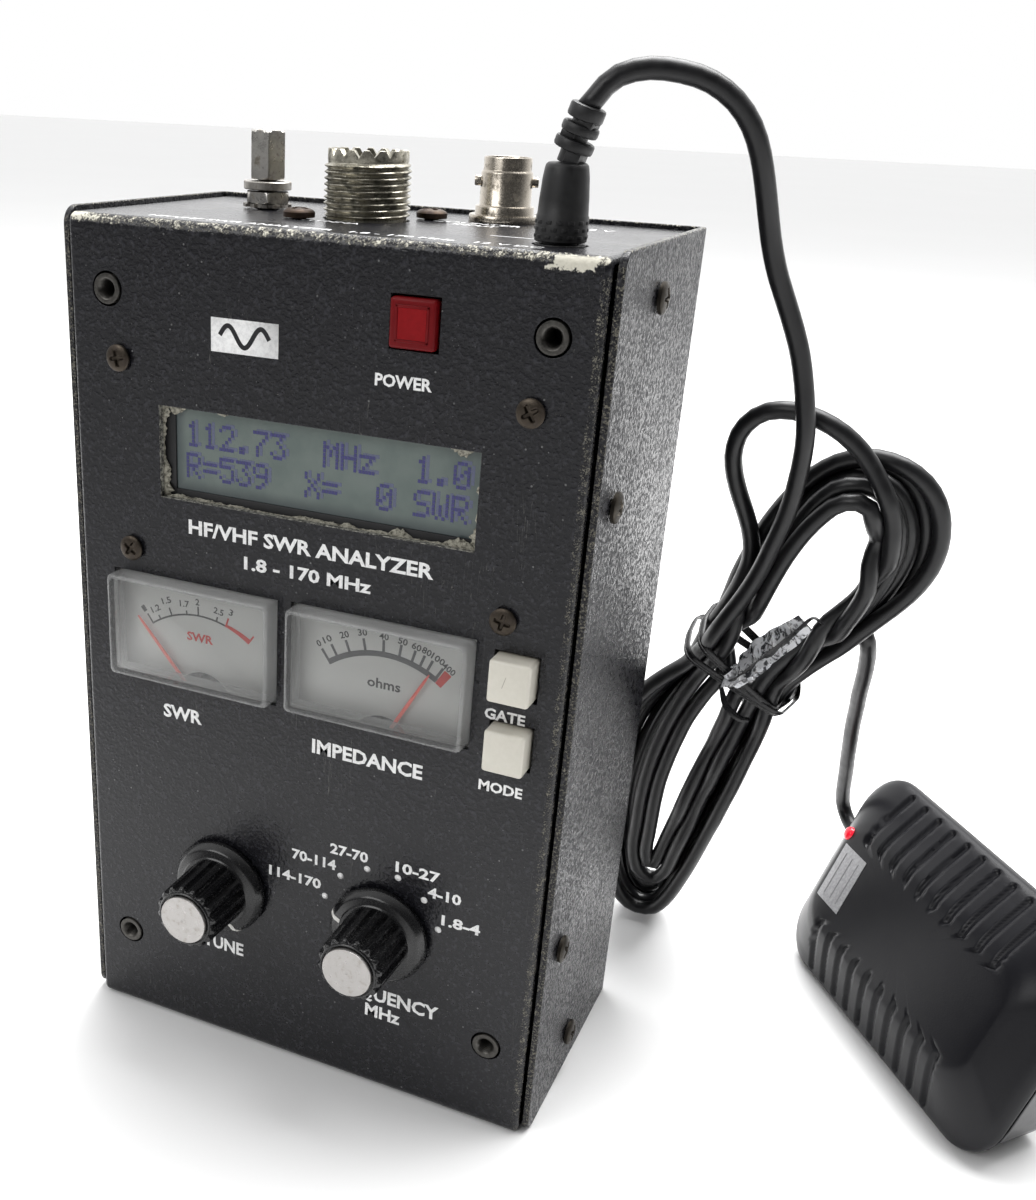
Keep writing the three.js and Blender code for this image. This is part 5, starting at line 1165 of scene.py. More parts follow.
# ------------------------------------------------------------------ display
lcd = Mat("display_glass", spec=0.4, coat=0.3, coat_rough=0.06)
x, y, z = lcd.xyz
# painted shade: the glass darkens at its left and bottom edges, where the raised frame shades it, and a little towards
# the right
edge = lcd.mx(lcd.rng(x, -29.4, -26.6, 1.0, 0.0), lcd.mx(lcd.rng(z, 121.2, 124.2, 1.0, 0.0), lcd.rng(x, 20, 33, 0.0, 0.38)))
ln = lcd.noise(0.12, 3.0, 0.6)
lc = lcd.mix(lcd.rng(ln, 0.3, 0.7), (0.098, 0.128, 0.118), (0.130, 0.160, 0.147))
lc = lcd.mix(lcd.mul(edge, 0.85), lc, (0.045, 0.06, 0.065))
lcd_mat = lcd.finish(lc, 0.32, None, lcd.bump(lcd.noise(0.4, 2.0), 0.02))
seg = Mat("display_dots", spec=0.5, coat=0.4, coat_rough=0.08)
dnn = seg.noise(0.3, 2.0)
seg_m = seg.finish(seg.mix(dnn, (0.022, 0.022, 0.125), (0.032, 0.030, 0.155)), 0.35)
shd = Mat("display_dot_shadow", spec=0.5, coat=0.4, coat_rough=0.08)
snn = shd.noise(0.3, 2.0)
shd_m = shd.finish(shd.mix(snn, (0.078, 0.090, 0.165), (0.095, 0.108, 0.178)), 0.35)
FONT = {
    "0": "01110 10001 10011 10101 11001 10001 01110", "1": "00100 01100 00100 00100 00100 00100 01110", "2": "01110 10001 00001 00010 00100 01000 11111", "3": "11111 00010 00100 00010 00001 10001 01110",
    "5": "11111 10000 11110 00001 00001 10001 01110", "7": "11111 00001 00010 00100 01000 01000 01000", "9": "01110 10001 10001 01111 00001 00010 01100", ".": "00000 00000 00000 00000 00000 01100 01100",
    "M": "10001 11011 10101 10101 10001 10001 10001", "H": "10001 10001 10001 11111 10001 10001 10001", "z": "00000 00000 11111 00010 00100 01000 11111", "R": "11110 10001 10001 11110 10100 10010 10001",
    "=": "00000 00000 11111 00000 11111 00000 00000", "X": "10001 10001 01010 00100 01010 10001 10001", "S": "01111 10000 10000 01110 00001 00001 11110", "W": "10001 10001 10001 10101 10101 10101 01010",
}
gd, gs = Geo(), Geo()
for row, (top, text) in enumerate(((134.65, "112.73  MHz  1.0"), (128.65, "R=539  X=  0 SWR"))):
    for c, ch in enumerate(text):
        if ch == " ": continue
        for j, bits in enumerate(FONT[ch].split()):
            for i, b in enumerate(bits):
                if b == "1":
                    cxx, czz = -25.7 + 3.554 * c + (i - 2) * 0.625, top - 0.32 - j * 0.688
                    gd.box(cxx - 0.275, cxx + 0.275, LCD_Y - 0.075, LCD_Y - 0.045, czz - 0.30, czz + 0.30)
                    gs.box(cxx - 0.31 + 0.78, cxx + 0.31 + 0.78, LCD_Y - 0.035, LCD_Y - 0.015, czz - 0.33 + 0.32, czz + 0.33 + 0.32)
dots = gd.make("display_characters", seg_m, "case", "display", (), 30, fix=False)
shadow = gs.make("display_character_shadows", shd_m, "case", "display", (), 30, fix=False)
bezel = plastic("display_bezel_black", (0.006, 0.006, 0.007), (0.012, 0.012, 0.013), 0.5, 0.02)
board_m = Mat("board_green", spec=0.5, coat=0.3)
bn = board_m.noise(0.25, 4.0, 0.6)
tr = board_m.mul(board_m.rng(board_m.absf(board_m.sub(board_m.noise(0.35, 1.0, 0.5, board_m.vec(1, 1, 0.15)), 0.5)), 0.0, 0.02, 1.0, 0.0), 0.6)
board = board_m.finish(board_m.mix(tr, board_m.mix(bn, (0.008, 0.05, 0.022), (0.015, 0.085, 0.035)), (0.03, 0.14, 0.06)), 0.4, None, board_m.bump(tr, 0.03))
g = Geo()
g.box(-40, 40, LCD_Y + 3.5, LCD_Y + 5.1, 110.6, 146.7, 1, 0.2, 1)
g.box(-35.6, 35.8, LCD_Y + 0.02, LCD_Y + 3.7, 116.4, 140.9, 0, 0.4, 2)
g.box(-34, 34, LCD_Y + 5, LCD_Y + 8, 120, 137.3, 0, 0.6, 2)
# raised black frame round the glass
for x0, x1, z0, z1 in ((-35.4, -29.3, 116.6, 140.7), (33.6, 35.6, 116.6, 140.7), (-29.3, 33.6, 116.6, 121.5), (-29.3, 33.6, 138.4, 140.7)):
    g.box(x0, x1, LCD_Y - 0.35, LCD_Y + 0.1, z0, z1, 0, 0.15, 2)
lcd_body = g.make("display_module", [bezel, board], "case", "display", ("lcd_module",), 40)
g = Geo()
g.box(-29.35, 33.65, LCD_Y - 0.01, LCD_Y + 0.03, 121.45, 138.45)
lcd_glass = g.make("display_panel", lcd_mat, "case", "display", (), 40)
# torn remains of the old gasket round the opening
foam = Mat("gasket_remains", spec=0.2)
f1 = foam.noise(1.4, 4.0, 0.65)
foam_m = foam.finish(foam.mix(foam.rng(f1, 0.32, 0.62), (0.075, 0.07, 0.055), (0.40, 0.385, 0.32)), 0.8, None, foam.bump(f1, 0.18))


def torn(geo, x0, z0, x1, z1, base, out, seed, peaks=()):
    """Ragged strip from one point to another along the opening's edge; the ragged side reaches inwards."""
    r = random.Random(seed)
    L = math.hypot(x1 - x0, z1 - z0)
    ux, uz = (x1 - x0) / L, (z1 - z0) / L
    nx, nz = -uz, ux
    n = int(L / 0.35)
    inner, outer, lift = [], [], []
    h = out
    for k in range(n + 1):
        s = L * k / n
        h += (r.random() - 0.5) * out * 0.9
        h = max(0.03, min(out * 1.5, h))
        e = h
        for c, wd, ht in peaks:
            q = abs(s - c) / wd
            if q < 1: e = max(e, ht * (1 - q) ** 0.6 * (0.75 + 0.5 * r.random()))
        outer.append((x0 + ux * s - nx * base, z0 + uz * s - nz * base))
        inner.append((x0 + ux * s + nx * e, z0 + uz * s + nz * e))
        lift.append(r.random() * 0.35)
    rg = []
    for (ox, oz), (ix, iz), q in zip(outer, inner, lift):
        mx_, mz_ = (ox + ix) / 2, (oz + iz) / 2
        rg.append([(ox, FRONT_Y + SHEET_T + 0.02, oz), (mx_, FRONT_Y + SHEET_T - 0.05 - q * 0.3, mz_), (ix, FRONT_Y + SHEET_T + 0.15 + q, iz), (ix, FRONT_Y + SHEET_T + 0.35 + q, iz), (mx_, FRONT_Y + SHEET_T + 0.5, mz_), (ox, FRONT_Y + SHEET_T + 0.3, oz)])
    geo.rings(rg)


g = Geo()
torn(g, -31.5, 120.0, 31.7, 120.0, 0.8, 0.30, 3, ((38.5, 1.6, 0.9), (48.6, 2.2, 1.6), (59.8, 3.2, 1.5), (3.5, 2.6, 0.6), (30.0, 3.0, 0.6)))
torn(g, 31.7, 120.0, 31.7, 137.3, 0.8, 0.25, 5, ((2.0, 2.4, 1.5), (5.5, 1.6, 0.8), (10.5, 1.2, 0.9), (15.5, 1.4, 0.6)))
torn(g, 31.7, 137.3, -31.5, 137.3, 0.8, 0.10, 8, ((3.6, 2.0, 1.5), (5.2, 1.2, 0.8), (50.5, 1.4, 0.9), (60.4, 2.2, 1.7)))
torn(g, -31.5, 137.3, -31.5, 120.0, 0.8, 0.45, 9, ((1.2, 1.8, 1.6), (13.0, 2.8, 1.5), (16.2, 1.6, 1.6)))
gasket = g.make("display_gasket_remains", foam_m, "case", None, (), 50)
# bright cut edge of the sheet under the opening
edge_m = Mat("cut_edge", metal=0.0, spec=0.5)
e1 = edge_m.noise(1.6, 4.0, 0.7)
edge_mat = edge_m.finish(edge_m.mix(edge_m.rng(e1, 0.42, 0.62), (0.03, 0.03, 0.028), (0.42, 0.41, 0.36)), 0.55, None, edge_m.bump(e1, 0.1))
g = Geo()
g.box(-31.5, 31.7, FRONT_Y + 0.04, FRONT_Y + SHEET_T - 0.04, 120.0, 120.05)
g.box(-31.5, -31.45, FRONT_Y + 0.04, FRONT_Y + SHEET_T - 0.04, 120.0, 137.3)
cut = g.make("opening_cut_edge", edge_mat, "case", "case_paint", (), 30)


# ------------------------------------------------------------------ meters
card_m = Mat("dial_card", spec=0.3)
c1 = card_m.noise(0.12, 3.0, 0.6)
c2 = card_m.noise(1.5, 3.0, 0.6)
card = card_m.finish(card_m.mix(c2, card_m.mix(c1, (0.58, 0.585, 0.58), (0.66, 0.66, 0.65)), (0.62, 0.62, 0.61)), 0.55, None, card_m.bump(c2, 0.006))
dial_ink = plastic("dial_ink", (0.02, 0.02, 0.022), (0.035, 0.035, 0.038), 0.5, 0.002)
dial_grey = plastic("dial_band", (0.075, 0.078, 0.085), (0.10, 0.10, 0.108), 0.5, 0.002)
dial_red = plastic("dial_red", (0.56, 0.035, 0.03), (0.64, 0.05, 0.04), 0.5, 0.002)
hub_m = plastic("meter_hub_shade", (0.025, 0.025, 0.028), (0.045, 0.045, 0.05), 0.28, 0.004, 1.2, 0.5, 0.3)
house = plastic("meter_housing", (0.32, 0.31, 0.28), (0.38, 0.37, 0.34), 0.5, 0.01)
needle_m = plastic("needle_salmon", (0.86, 0.13, 0.10), (0.92, 0.17, 0.13), 0.42, 0.004)

glass = bpy.data.materials.new("cover_clear")
glass.use_nodes = True
gt = glass.node_tree
gt.nodes.clear()
go = gt.nodes.new("ShaderNodeOutputMaterial")
gm = gt.nodes.new("ShaderNodeMixShader")
tr_ = gt.nodes.new("ShaderNodeBsdfTransparent")
gl = gt.nodes.new("ShaderNodeBsdfGlossy")
fr_ = gt.nodes.new("ShaderNodeFresnel")
fr_.inputs["IOR"].default_value = 1.46
tcn = gt.nodes.new("ShaderNodeTexCoord")
nz = gt.nodes.new("ShaderNodeTexNoise")
nz.inputs["Scale"].default_value = 900
rr = gt.nodes.new("ShaderNodeMapRange")
rr.inputs[1].default_value, rr.inputs[2].default_value, rr.inputs[3].default_value, rr.inputs[4].default_value = 0.3, 0.7, 0.045, 0.12
tr_.inputs[0].default_value = (0.965, 0.968, 0.962, 1)
gt.links.new(tcn.outputs["Object"], nz.inputs["Vector"])
gt.links.new(nz.outputs[0], rr.inputs[0])
gt.links.new(rr.outputs[0], gl.inputs["Roughness"])
gt.links.new(fr_.outputs[0], gm.inputs[0])
gt.links.new(tr_.outputs[0], gm.inputs[1])
gt.links.new(gl.outputs[0], gm.inputs[2])
gt.links.new(gm.outputs[0], go.inputs[0])

# the clear walls get a half see-through grey colour: painted reflection of their edges
rim_m = Mat("cover_moulded", spec=0.6, coat=0.4, coat_rough=0.06)
r1 = rim_m.noise(0.35, 3.0, 0.6)
rim_m.set("Alpha", 0.42)
rim = rim_m.finish(rim_m.mix(r1, (0.28, 0.285, 0.285), (0.50, 0.505, 0.50)), 0.22, None, rim_m.bump(rim_m.noise(0.8, 2.0), 0.015))


def rrect(x0, x1, z0, z1, r, n=6):
    out = []
    for cx_, cz_, a0 in ((x1 - r, z1 - r, 0), (x0 + r, z1 - r, 90), (x0 + r, z0 + r, 180), (x1 - r, z0 + r, 270)):
        for k in range(n + 1):
            t = math.radians(a0 + 90 * k / n)
            out.append((cx_ + r * math.cos(t), cz_ + r * math.sin(t)))
    return out


def arc_band(geo, cx_, cz_, r0, r1, a0, a1, mat, y=DIAL_Y - 0.02, thick=0.03, r1b=None):
    """Flat raised band along an arc; r1b lets it widen."""
    n = max(2, int(abs(a1 - a0) / 1.5))
    rg = []
    for k in range(n + 1):
        f_ = k / n
        t = math.radians(a0 + (a1 - a0) * f_)
        ro = r1 if r1b is None else r1 + (r1b - r1) * f_
        rg.append([(cx_ + r * math.cos(t), yy, cz_ + r * math.sin(t)) for r, yy in ((r0, y), (ro, y), (ro, y - thick), (r0, y - thick))])
    geo.rings(rg, mat)


def radial(geo, cx_, cz_, a, r0, r1, w, mat, y=DIAL_Y - 0.02, thick=0.034):
    t = math.radians(a)
    c_, s_ = math.cos(t), math.sin(t)
    p = [(cx_ + r * c_ - k * w / 2 * s_, cz_ + r * s_ + k * w / 2 * c_) for r, k in ((r0, -1), (r1, -1), (r1, 1), (r0, 1))]
    geo.rings([[(x, y, z) for x, z in p], [(x, y - thick, z) for x, z in p]], mat)


PLATES = {"swr": (-46.4, -7.9), "impedance": (-6.4, 33.4)}
for key, mt in METERS.items():
    x0, x1, z0, z1 = mt["x0"], mt["x1"], mt["z0"], mt["z1"]
    body = f"{key}_needle"
    # card with its printing, housing behind
    a0, a1 = PLATES[key]
    g = Geo()
    g.box(a0, a1, DIAL_Y, DIAL_Y + 0.4, 74.6, 105.4, 0)
    g.box(a0, a1, DIAL_Y + 0.45, FRONT_Y + 15, 73.4, 105.5, 1, 0.5, 2)
    g.make(f"{key}_meter_card", [card, house], "case", "dial_card", (f"{key}_meter_body",), 30)
    g = Geo()
    if key == "swr":
        cx_, cz_ = -25.1, 77.4
        arc_band(g, cx_, cz_, 18.52, 18.88, 126.1, 71.8, 0)
        arc_band(g, cx_, cz_, 18.52, 19.12, 71.8, 54.5, 2, r1b=19.62)
        for a, L in ((126.1, 2.15), (119.5, 0.9), (110.5, 1.7), (99.3, 0.85), (91.3, 1.9), (78.5, 1.0)):
            radial(g, cx_, cz_, a, 18.55, 18.7 + L, 0.34, 0)
        for a, L in ((71.8, 1.85), (54.5, 2.05)):
            radial(g, cx_, cz_, a, 18.55, 18.7 + L, 0.36, 2, thick=0.038)
        labels = (("1", -38.2, 95.2, 40), ("1.2", -35.5, 95.7, 30), ("1.5", -32.9, 97.9, 20), ("1.7", -28.7, 98.0, 5), ("2", -25.7, 98.9, 0), ("2.5", -20.9, 97.9, -10), ("3", -18.1, 98.2, -15))
        put_text(g, "SWR", -28.2, -22.2, 90.56, 1.8, 2, DIAL_Y - 0.02, 0.03, 0.03)
        hx, hz = -24.45, 77.5
    else:
        cx_, cz_ = 15.0, 76.9
        arc_band(g, cx_, cz_, 19.0, 20.1, 126.3, 58.4, 1)
        arc_band(g, cx_, cz_, 19.0, 22.3, 58.3, 54.1, 2)
        for a in (126.3, 120.3, 111.9, 102.2, 91.6, 82.4, 75.0, 70.0, 65.5, 59.5):
            radial(g, cx_, cz_, a, 19.0 if a == 126.3 else 20.0, 22.4, 0.52, 1)
        labels = (("0", 1.05, 95.9, 36), ("10", 2.8, 97.1, 30), ("20", 6.3, 98.7, 20), ("30", 10.0, 99.9, 12), ("40", 14.4, 100.0, 0), ("50", 18.2, 99.8, -8), ("60", 20.95, 99.3, -15),
                  ("80", 23.0, 98.8, -20), ("100", 25.3, 97.8, -25), ("400", 27.5, 96.3, -32))
        put_text(g, "ohms", 11.4, 18.2, 89.5, 2.0, 0, DIAL_Y - 0.02, 0.03, 0.02)
        hx, hz = 14.9, 77.3
    for s, lx, lz, turn in labels:
        w_ = {1: 0.9, 2: 1.9, 3: 2.2 if "." in s else 2.75}[len(s)]
        put_text(g, s, lx - w_ / 2, lx + w_ / 2, lz - 0.65, 1.3, 0, DIAL_Y - 0.02, 0.03, 0.018, math.radians(turn))
    g.make(f"{key}_dial_print", [dial_ink, dial_grey, dial_red], "case", None, (), 30, fix=False)
    g = Geo()
    M_ = to_axis((hx, DIAL_Y, hz), (0, -1, 0))
    g.lathe([(0, -0.05), (6.6, -0.05), (6.6, 0.12), (6.4, 0.18), (0, 0.18)], 72, 0, M_)
    g.make(f"{key}_meter_hub", hub_m, "case", None, (), 30)
    # pointer: tapered blade on its hub with a counterweight
    g = Geo()
    t = math.radians(mt["ang"])
    N_ = Matrix.Translation((mt["px"], NEEDLE_Y, mt["pz"])) @ Matrix.Rotation(-t, 4, "Y")
    prof = ((-3.1, 0.5), (-1.3, 0.42), (0, 0.4), (mt["ln"] * 0.5, 0.36), (mt["ln"] - 1.5, 0.27), (mt["ln"] - 0.05, 0.12))
    rg = [[tuple(N_ @ Vector((x, -0.10, -w))), tuple(N_ @ Vector((x, -0.20, -w * 0.35))), tuple(N_ @ Vector((x, -0.20, w * 0.35))), tuple(N_ @ Vector((x, -0.10, w))), tuple(N_ @ Vector((x, 0.10, w))), tuple(N_ @ Vector((x, 0.10, -w)))] for x, w in prof]
    g.rings(rg, 0)
    g.lathe([(0, -0.45), (1.2, -0.45), (1.3, -0.35), (1.3, 0.35), (1.2, 0.45), (0, 0.45)], 32, 1, Matrix.Translation((mt["px"], NEEDLE_Y, mt["pz"])) @ Matrix.Rotation(math.radians(90), 4, "X"))
    g.box(-3.2, -1.2, -0.3, 0.3, -0.8, 0.8, 1, 0.12, 2, N_)
    g.make(f"{key}_pointer", [needle_m, hub_m], body, "needle_red", (f"{key}_needle",), 40)
    # moulded cover: rounded walls, clear face
    yF, yB = FRONT_Y - 3.5, FRONT_Y + 1.35
    g = Geo()
    outs = [(0, yB, 0), (0, yF + 0.7, 0), (0.06, yF + 0.42, 0), (0.2, yF + 0.2, 0), (0.42, yF + 0.06, 0), (0.7, yF, 0)]
    rg = [[(x, y, z) for x, z in rrect(x0 + i, x1 - i, z0 + i, z1 - i, 1.0)] for i, y, _ in outs]
    g.rings(rg, 1, None, (False, False))
    ins = [(1.0, yB), (1.0, yF + 1.15), (1.12, yF + 1.0)]
    rg2 = [[(x, y, z) for x, z in rrect(x0 + i, x1 - i, z0 + i, z1 - i, 0.6)] for i, y in ins]
    g.rings(rg2, 1, None, (False, False))
    g.rings([rg[0], rg2[0]], 1, None, (False, False))
    # face: the flat part of the front, and its back
    g.add(rg[-1], [tuple(range(len(rg[-1])))], 0)
    g.add(rg2[-1], [tuple(range(len(rg2[-1])))], 0)
    me_v = {}
    vs, remap = [], []
    for p in g.v:
        k = (round(p[0], 4), round(p[1], 4), round(p[2], 4))
        if k not in me_v:
            me_v[k] = len(vs)
            vs.append(p)
        remap.append(me_v[k])
    g.v, g.f = vs, [tuple(remap[i] for i in f_) for f_ in g.f]
    g.make(f"{key}_meter_window", [glass, rim], "case", "clear_cover", (f"{key}_meter_cover",), 30)

# ------------------------------------------------------------------ buttons
red_m = plastic("button_red", (0.125, 0.002, 0.004), (0.15, 0.003, 0.005), 0.40, 0.008, 1.0, 0.15, 0.0)
red_c = plastic("button_red_centre", (0.20, 0.003, 0.005), (0.24, 0.004, 0.007), 0.34, 0.006, 1.0, 0.16, 0.0)
g = Geo()
g.box(14.4, 22.6, FRONT_Y - 1.2, FRONT_Y + 4, 152.75, 160.95, 0, 0.55, 4)
g.box(16.5, 20.5, FRONT_Y + 3, FRONT_Y + 7, 154.85, 158.85, 0, 0.2, 1)
for a in range(4):      # low frame round the bright centre
    M_ = Matrix.Translation((18.5, 0, 156.85)) @ Matrix.Rotation(math.radians(90 * a), 4, "Y")
    g.box(-3.0, 3.0, FRONT_Y - 1.34, FRONT_Y - 1.1, 2.55, 3.0, 0, 0.1, 2, M_)
g.box(15.95, 21.05, FRONT_Y - 1.26, FRONT_Y - 1.1, 154.3, 159.4, 1, 0.05, 1)
g.make("power_cap", [red_m, red_c], "power_button", "red_plastic", ("power_button",), 35)
ivory_q = Mat("button_ivory", spec=0.5, coat=0.15)
x, y, z = ivory_q.xyz
v1 = ivory_q.noise(1.1, 3.0, 0.6)
# painted shade: the button sides darken towards where they go back into the panel opening
sink_shade = ivory_q.rng(y, FRONT_Y - 2.2, FRONT_Y + 0.5)
mark = ivory_q.mul(ivory_q.rng(ivory_q.absf(ivory_q.sub(ivory_q.sub(x, 40.3), ivory_q.mul(ivory_q.sub(z, 99.0), 0.28))), 0.0, 0.11, 1.0, 0.0), ivory_q.mul(ivory_q.rng(ivory_q.absf(ivory_q.sub(z, 99.2)), 0.9, 1.25, 1.0, 0.0), ivory_q.rng(y, FRONT_Y - 3.6, FRONT_Y - 3.2, 1.0, 0.0)))
icol = ivory_q.mix(v1, (0.60, 0.575, 0.50), (0.68, 0.655, 0.58))
icol = ivory_q.mix(ivory_q.mul(sink_shade, 0.55), icol, (0.30, 0.27, 0.21))
icol = ivory_q.mix(ivory_q.mul(mark, 0.7), icol, (0.13, 0.10, 0.07))
ivory = ivory_q.finish(icol, 0.36, None, ivory_q.bump(ivory_q.sub(v1, ivory_q.mul(mark, 2.0)), 0.01))
for name, bx, bz, w_, h_ in (("gate", 41.15, 99.0, 7.7, 8.0), ("mode", 41.25, 85.55, 7.6, 8.1)):
    g = Geo()
    g.box(bx - w_ / 2, bx + w_ / 2, FRONT_Y - 4, FRONT_Y + 3, bz - h_ / 2, bz + h_ / 2, 0, 0.6, 4)
    g.box(bx - 1.4, bx + 1.4, FRONT_Y + 2.5, FRONT_Y + 5.5, bz - 1.4, bz + 1.4, 0, 0.2, 1)
    g.make(f"{name}_cap", ivory, f"{name}_button", "white_plastic", (f"{name}_button",), 35)

# ------------------------------------------------------------------ knobs
knob_q = Mat("knob_black", spec=0.45, coat=0.15, coat_rough=0.08)
k1 = knob_q.noise(0.5, 3.0, 0.6)
k2 = knob_q.noise(3.0, 3.0, 0.6)
dustk = knob_q.mul(speckle(knob_q, 0.9, 0.10), knob_q.rng(knob_q.noise(0.12, 1.0), 0.45, 0.6))
kc = knob_q.mix(k1, (0.0040, 0.0040, 0.0048), (0.0080, 0.0080, 0.0088))
kc = knob_q.mix(knob_q.mul(dustk, 0.6), kc, (0.14, 0.13, 0.11))
knob_m = knob_q.finish(kc, knob_q.rng(k2, 0.3, 0.7, 0.20, 0.32), None, knob_q.bump(k2, 0.006))
mark_m = plastic("knob_pointer_white", (0.62, 0.61, 0.58), (0.72, 0.71, 0.68), 0.45, 0.006)
for name, kx, ptr in (("tune", -18.2, -62), ("frequency", 18.2, 164.5)):
    body = f"{name}_knob"
    K = to_axis((kx, FRONT_Y - 0.8, KNOB_Z), (0, -1, 0), math.radians(ptr))
    g = Geo()
    g.lathe([(0, 0), (10.1, 0), (10.32, 0.08), (10.4, 0.3), (10.4, 0.85), (10.3, 1.1), (9.5, 2.15), (9.3, 2.35), (9.0, 2.48), (8.0, 2.75), (7.8, 2.85), (7.6, 3.05), (0, 3.05)], 96, 0, K)
    n = 16 * 16

    def grip(R, depth, h):
        out = []
        for i in range(n):
            a = 2 * math.pi * i / n
            u = (a * 16 / (2 * math.pi)) % 1.0
            f_ = max(0.0, math.sin(math.pi * min(1, max(0, (u - 0.28) / 0.72)))) ** 0.8 if u > 0.28 else 0.0
            r = R - depth * f_
            out.append((r * math.cos(a), r * math.sin(a), h))
        return out
    rg = [grip(7.05, 0.72, 2.6), grip(7.0, 0.78, 4), grip(6.9, 0.82, 8), grip(6.82, 0.82, 13.0), grip(6.74, 0.74, 13.5), grip(6.55, 0.6, 13.85), grip(6.2, 0.35, 14.05), grip(5.95, 0.1, 14.1), grip(5.9, 0, 14.1)]
    g.rings(rg, 0, K, (True, False))
    g.lathe([(5.9, 14.1), (5.88, 14.3), (5.75, 14.42), (5.55, 14.42), (5.45, 14.32), (5.45, 13.9), (0, 13.9)], 96, 0, K, (False, True))
    g.lathe([(0, -13), (2.9, -13), (3.1, -12.8), (3.1, 0.2), (0, 0.2)], 32, 0, K)
    # pointer line down the bevel of the skirt
    w = 0.42
    P = [(7.75, 2.92), (8.2, 2.76), (9.0, 2.55), (9.5, 2.22), (10.32, 1.16), (10.43, 0.9), (10.43, 0.35)]
    rg = [[(r, -w, h), (r, w, h), (r - 0.1, w, h - 0.1), (r - 0.1, -w, h - 0.1)] for r, h in P]
    rg = [[(r + 0.035, -w, h + 0.035), (r + 0.035, w, h + 0.035), (r - 0.15, w, h - 0.15), (r - 0.15, -w, h - 0.15)] for r, h in P]
    g.rings(rg, 1, K)
    g.make(f"{name}_knob_shell", [knob_m, mark_m], body, "black_plastic", (f"{name}_knob",), 35)
    # spun disc
    al = Mat(f"spun_disc_{name}", metal=1.0)
    x, y, z = al.xyz
    dx, dz = al.sub(x, kx), al.sub(z, KNOB_Z)
    rad_ = al.math("SQRT", al.add(al.mul(dx, dx), al.mul(dz, dz)))
    cmb = al.t.nodes.new("ShaderNodeCombineXYZ")
    al.link(rad_, cmb.inputs[0])
    ringn = al.noise(9.0, 3.0, 0.7, cmb.outputs[0])
    g1 = al.noise(0.7, 4.0, 0.65)
    acol = al.mix(ringn, (0.34, 0.325, 0.315), (0.52, 0.505, 0.49))
    acol = al.mix(al.mul(al.rng(g1, 0.52, 0.74), 0.55), acol, (0.24, 0.20, 0.15))
    disc_m = al.finish(acol, al.rng(g1, 0.3, 0.7, 0.26, 0.42), 0.92, al.bump(ringn, 0.012))
    g = Geo()
    prof = [(0, 14.0), (4.95, 14.0), (5.1, 14.1), (5.1, 14.9), (5.05, 15.0), (4.9, 15.03)]
    for k in range(22):
        r = 4.8 - k * 0.215
        if r < 0.3: break
        prof += [(r, 15.0), (r - 0.1, 14.985 + 0.02 * ((k * 7) % 3 - 1) * 0.5)]
    prof += [(0.25, 14.92), (0, 14.9)]
    g.lathe(prof, 96, 0, K)
    g.make(f"{name}_disc", disc_m, body, "aluminium", (f"{name}_knob_disc",), 50)

# ------------------------------------------------------------------ screws
def screw_metal(name, a, b, rust, amt, rough=0.4):
    q = Mat(name, metal=1.0)
    n1, n2 = q.noise(0.9, 4.0, 0.65), q.noise(3.5, 3.0, 0.6)
    r_ = q.mul(q.rng(n1, 0.44, 0.66), amt)
    return q.finish(q.mix(r_, q.mix(n2, a, b), rust), q.add(q.rng(n2, 0.3, 0.7, rough - 0.06, rough + 0.08), q.mul(r_, 0.25)), q.rng(r_, 0.1, 0.8, 1.0, 0.45), q.bump(q.add(n2, q.mul(n1, 0.7)), 0.02))


bronze = screw_metal("screw_dark_bronze", (0.042, 0.036, 0.030), (0.078, 0.064, 0.050), (0.03, 0.02, 0.014), 0.7, 0.36)
greyish = screw_metal("screw_grey", (0.040, 0.036, 0.030), (0.075, 0.066, 0.055), (0.025, 0.02, 0.015), 0.7, 0.44)
rusty = screw_metal("screw_rusty", (0.035, 0.025, 0.018), (0.065, 0.045, 0.032), (0.030, 0.013, 0.008), 0.95, 0.48)
worn = screw_metal("sleeve_worn_steel", (0.030, 0.029, 0.028), (0.13, 0.125, 0.115), (0.05, 0.045, 0.04), 0.55, 0.34)


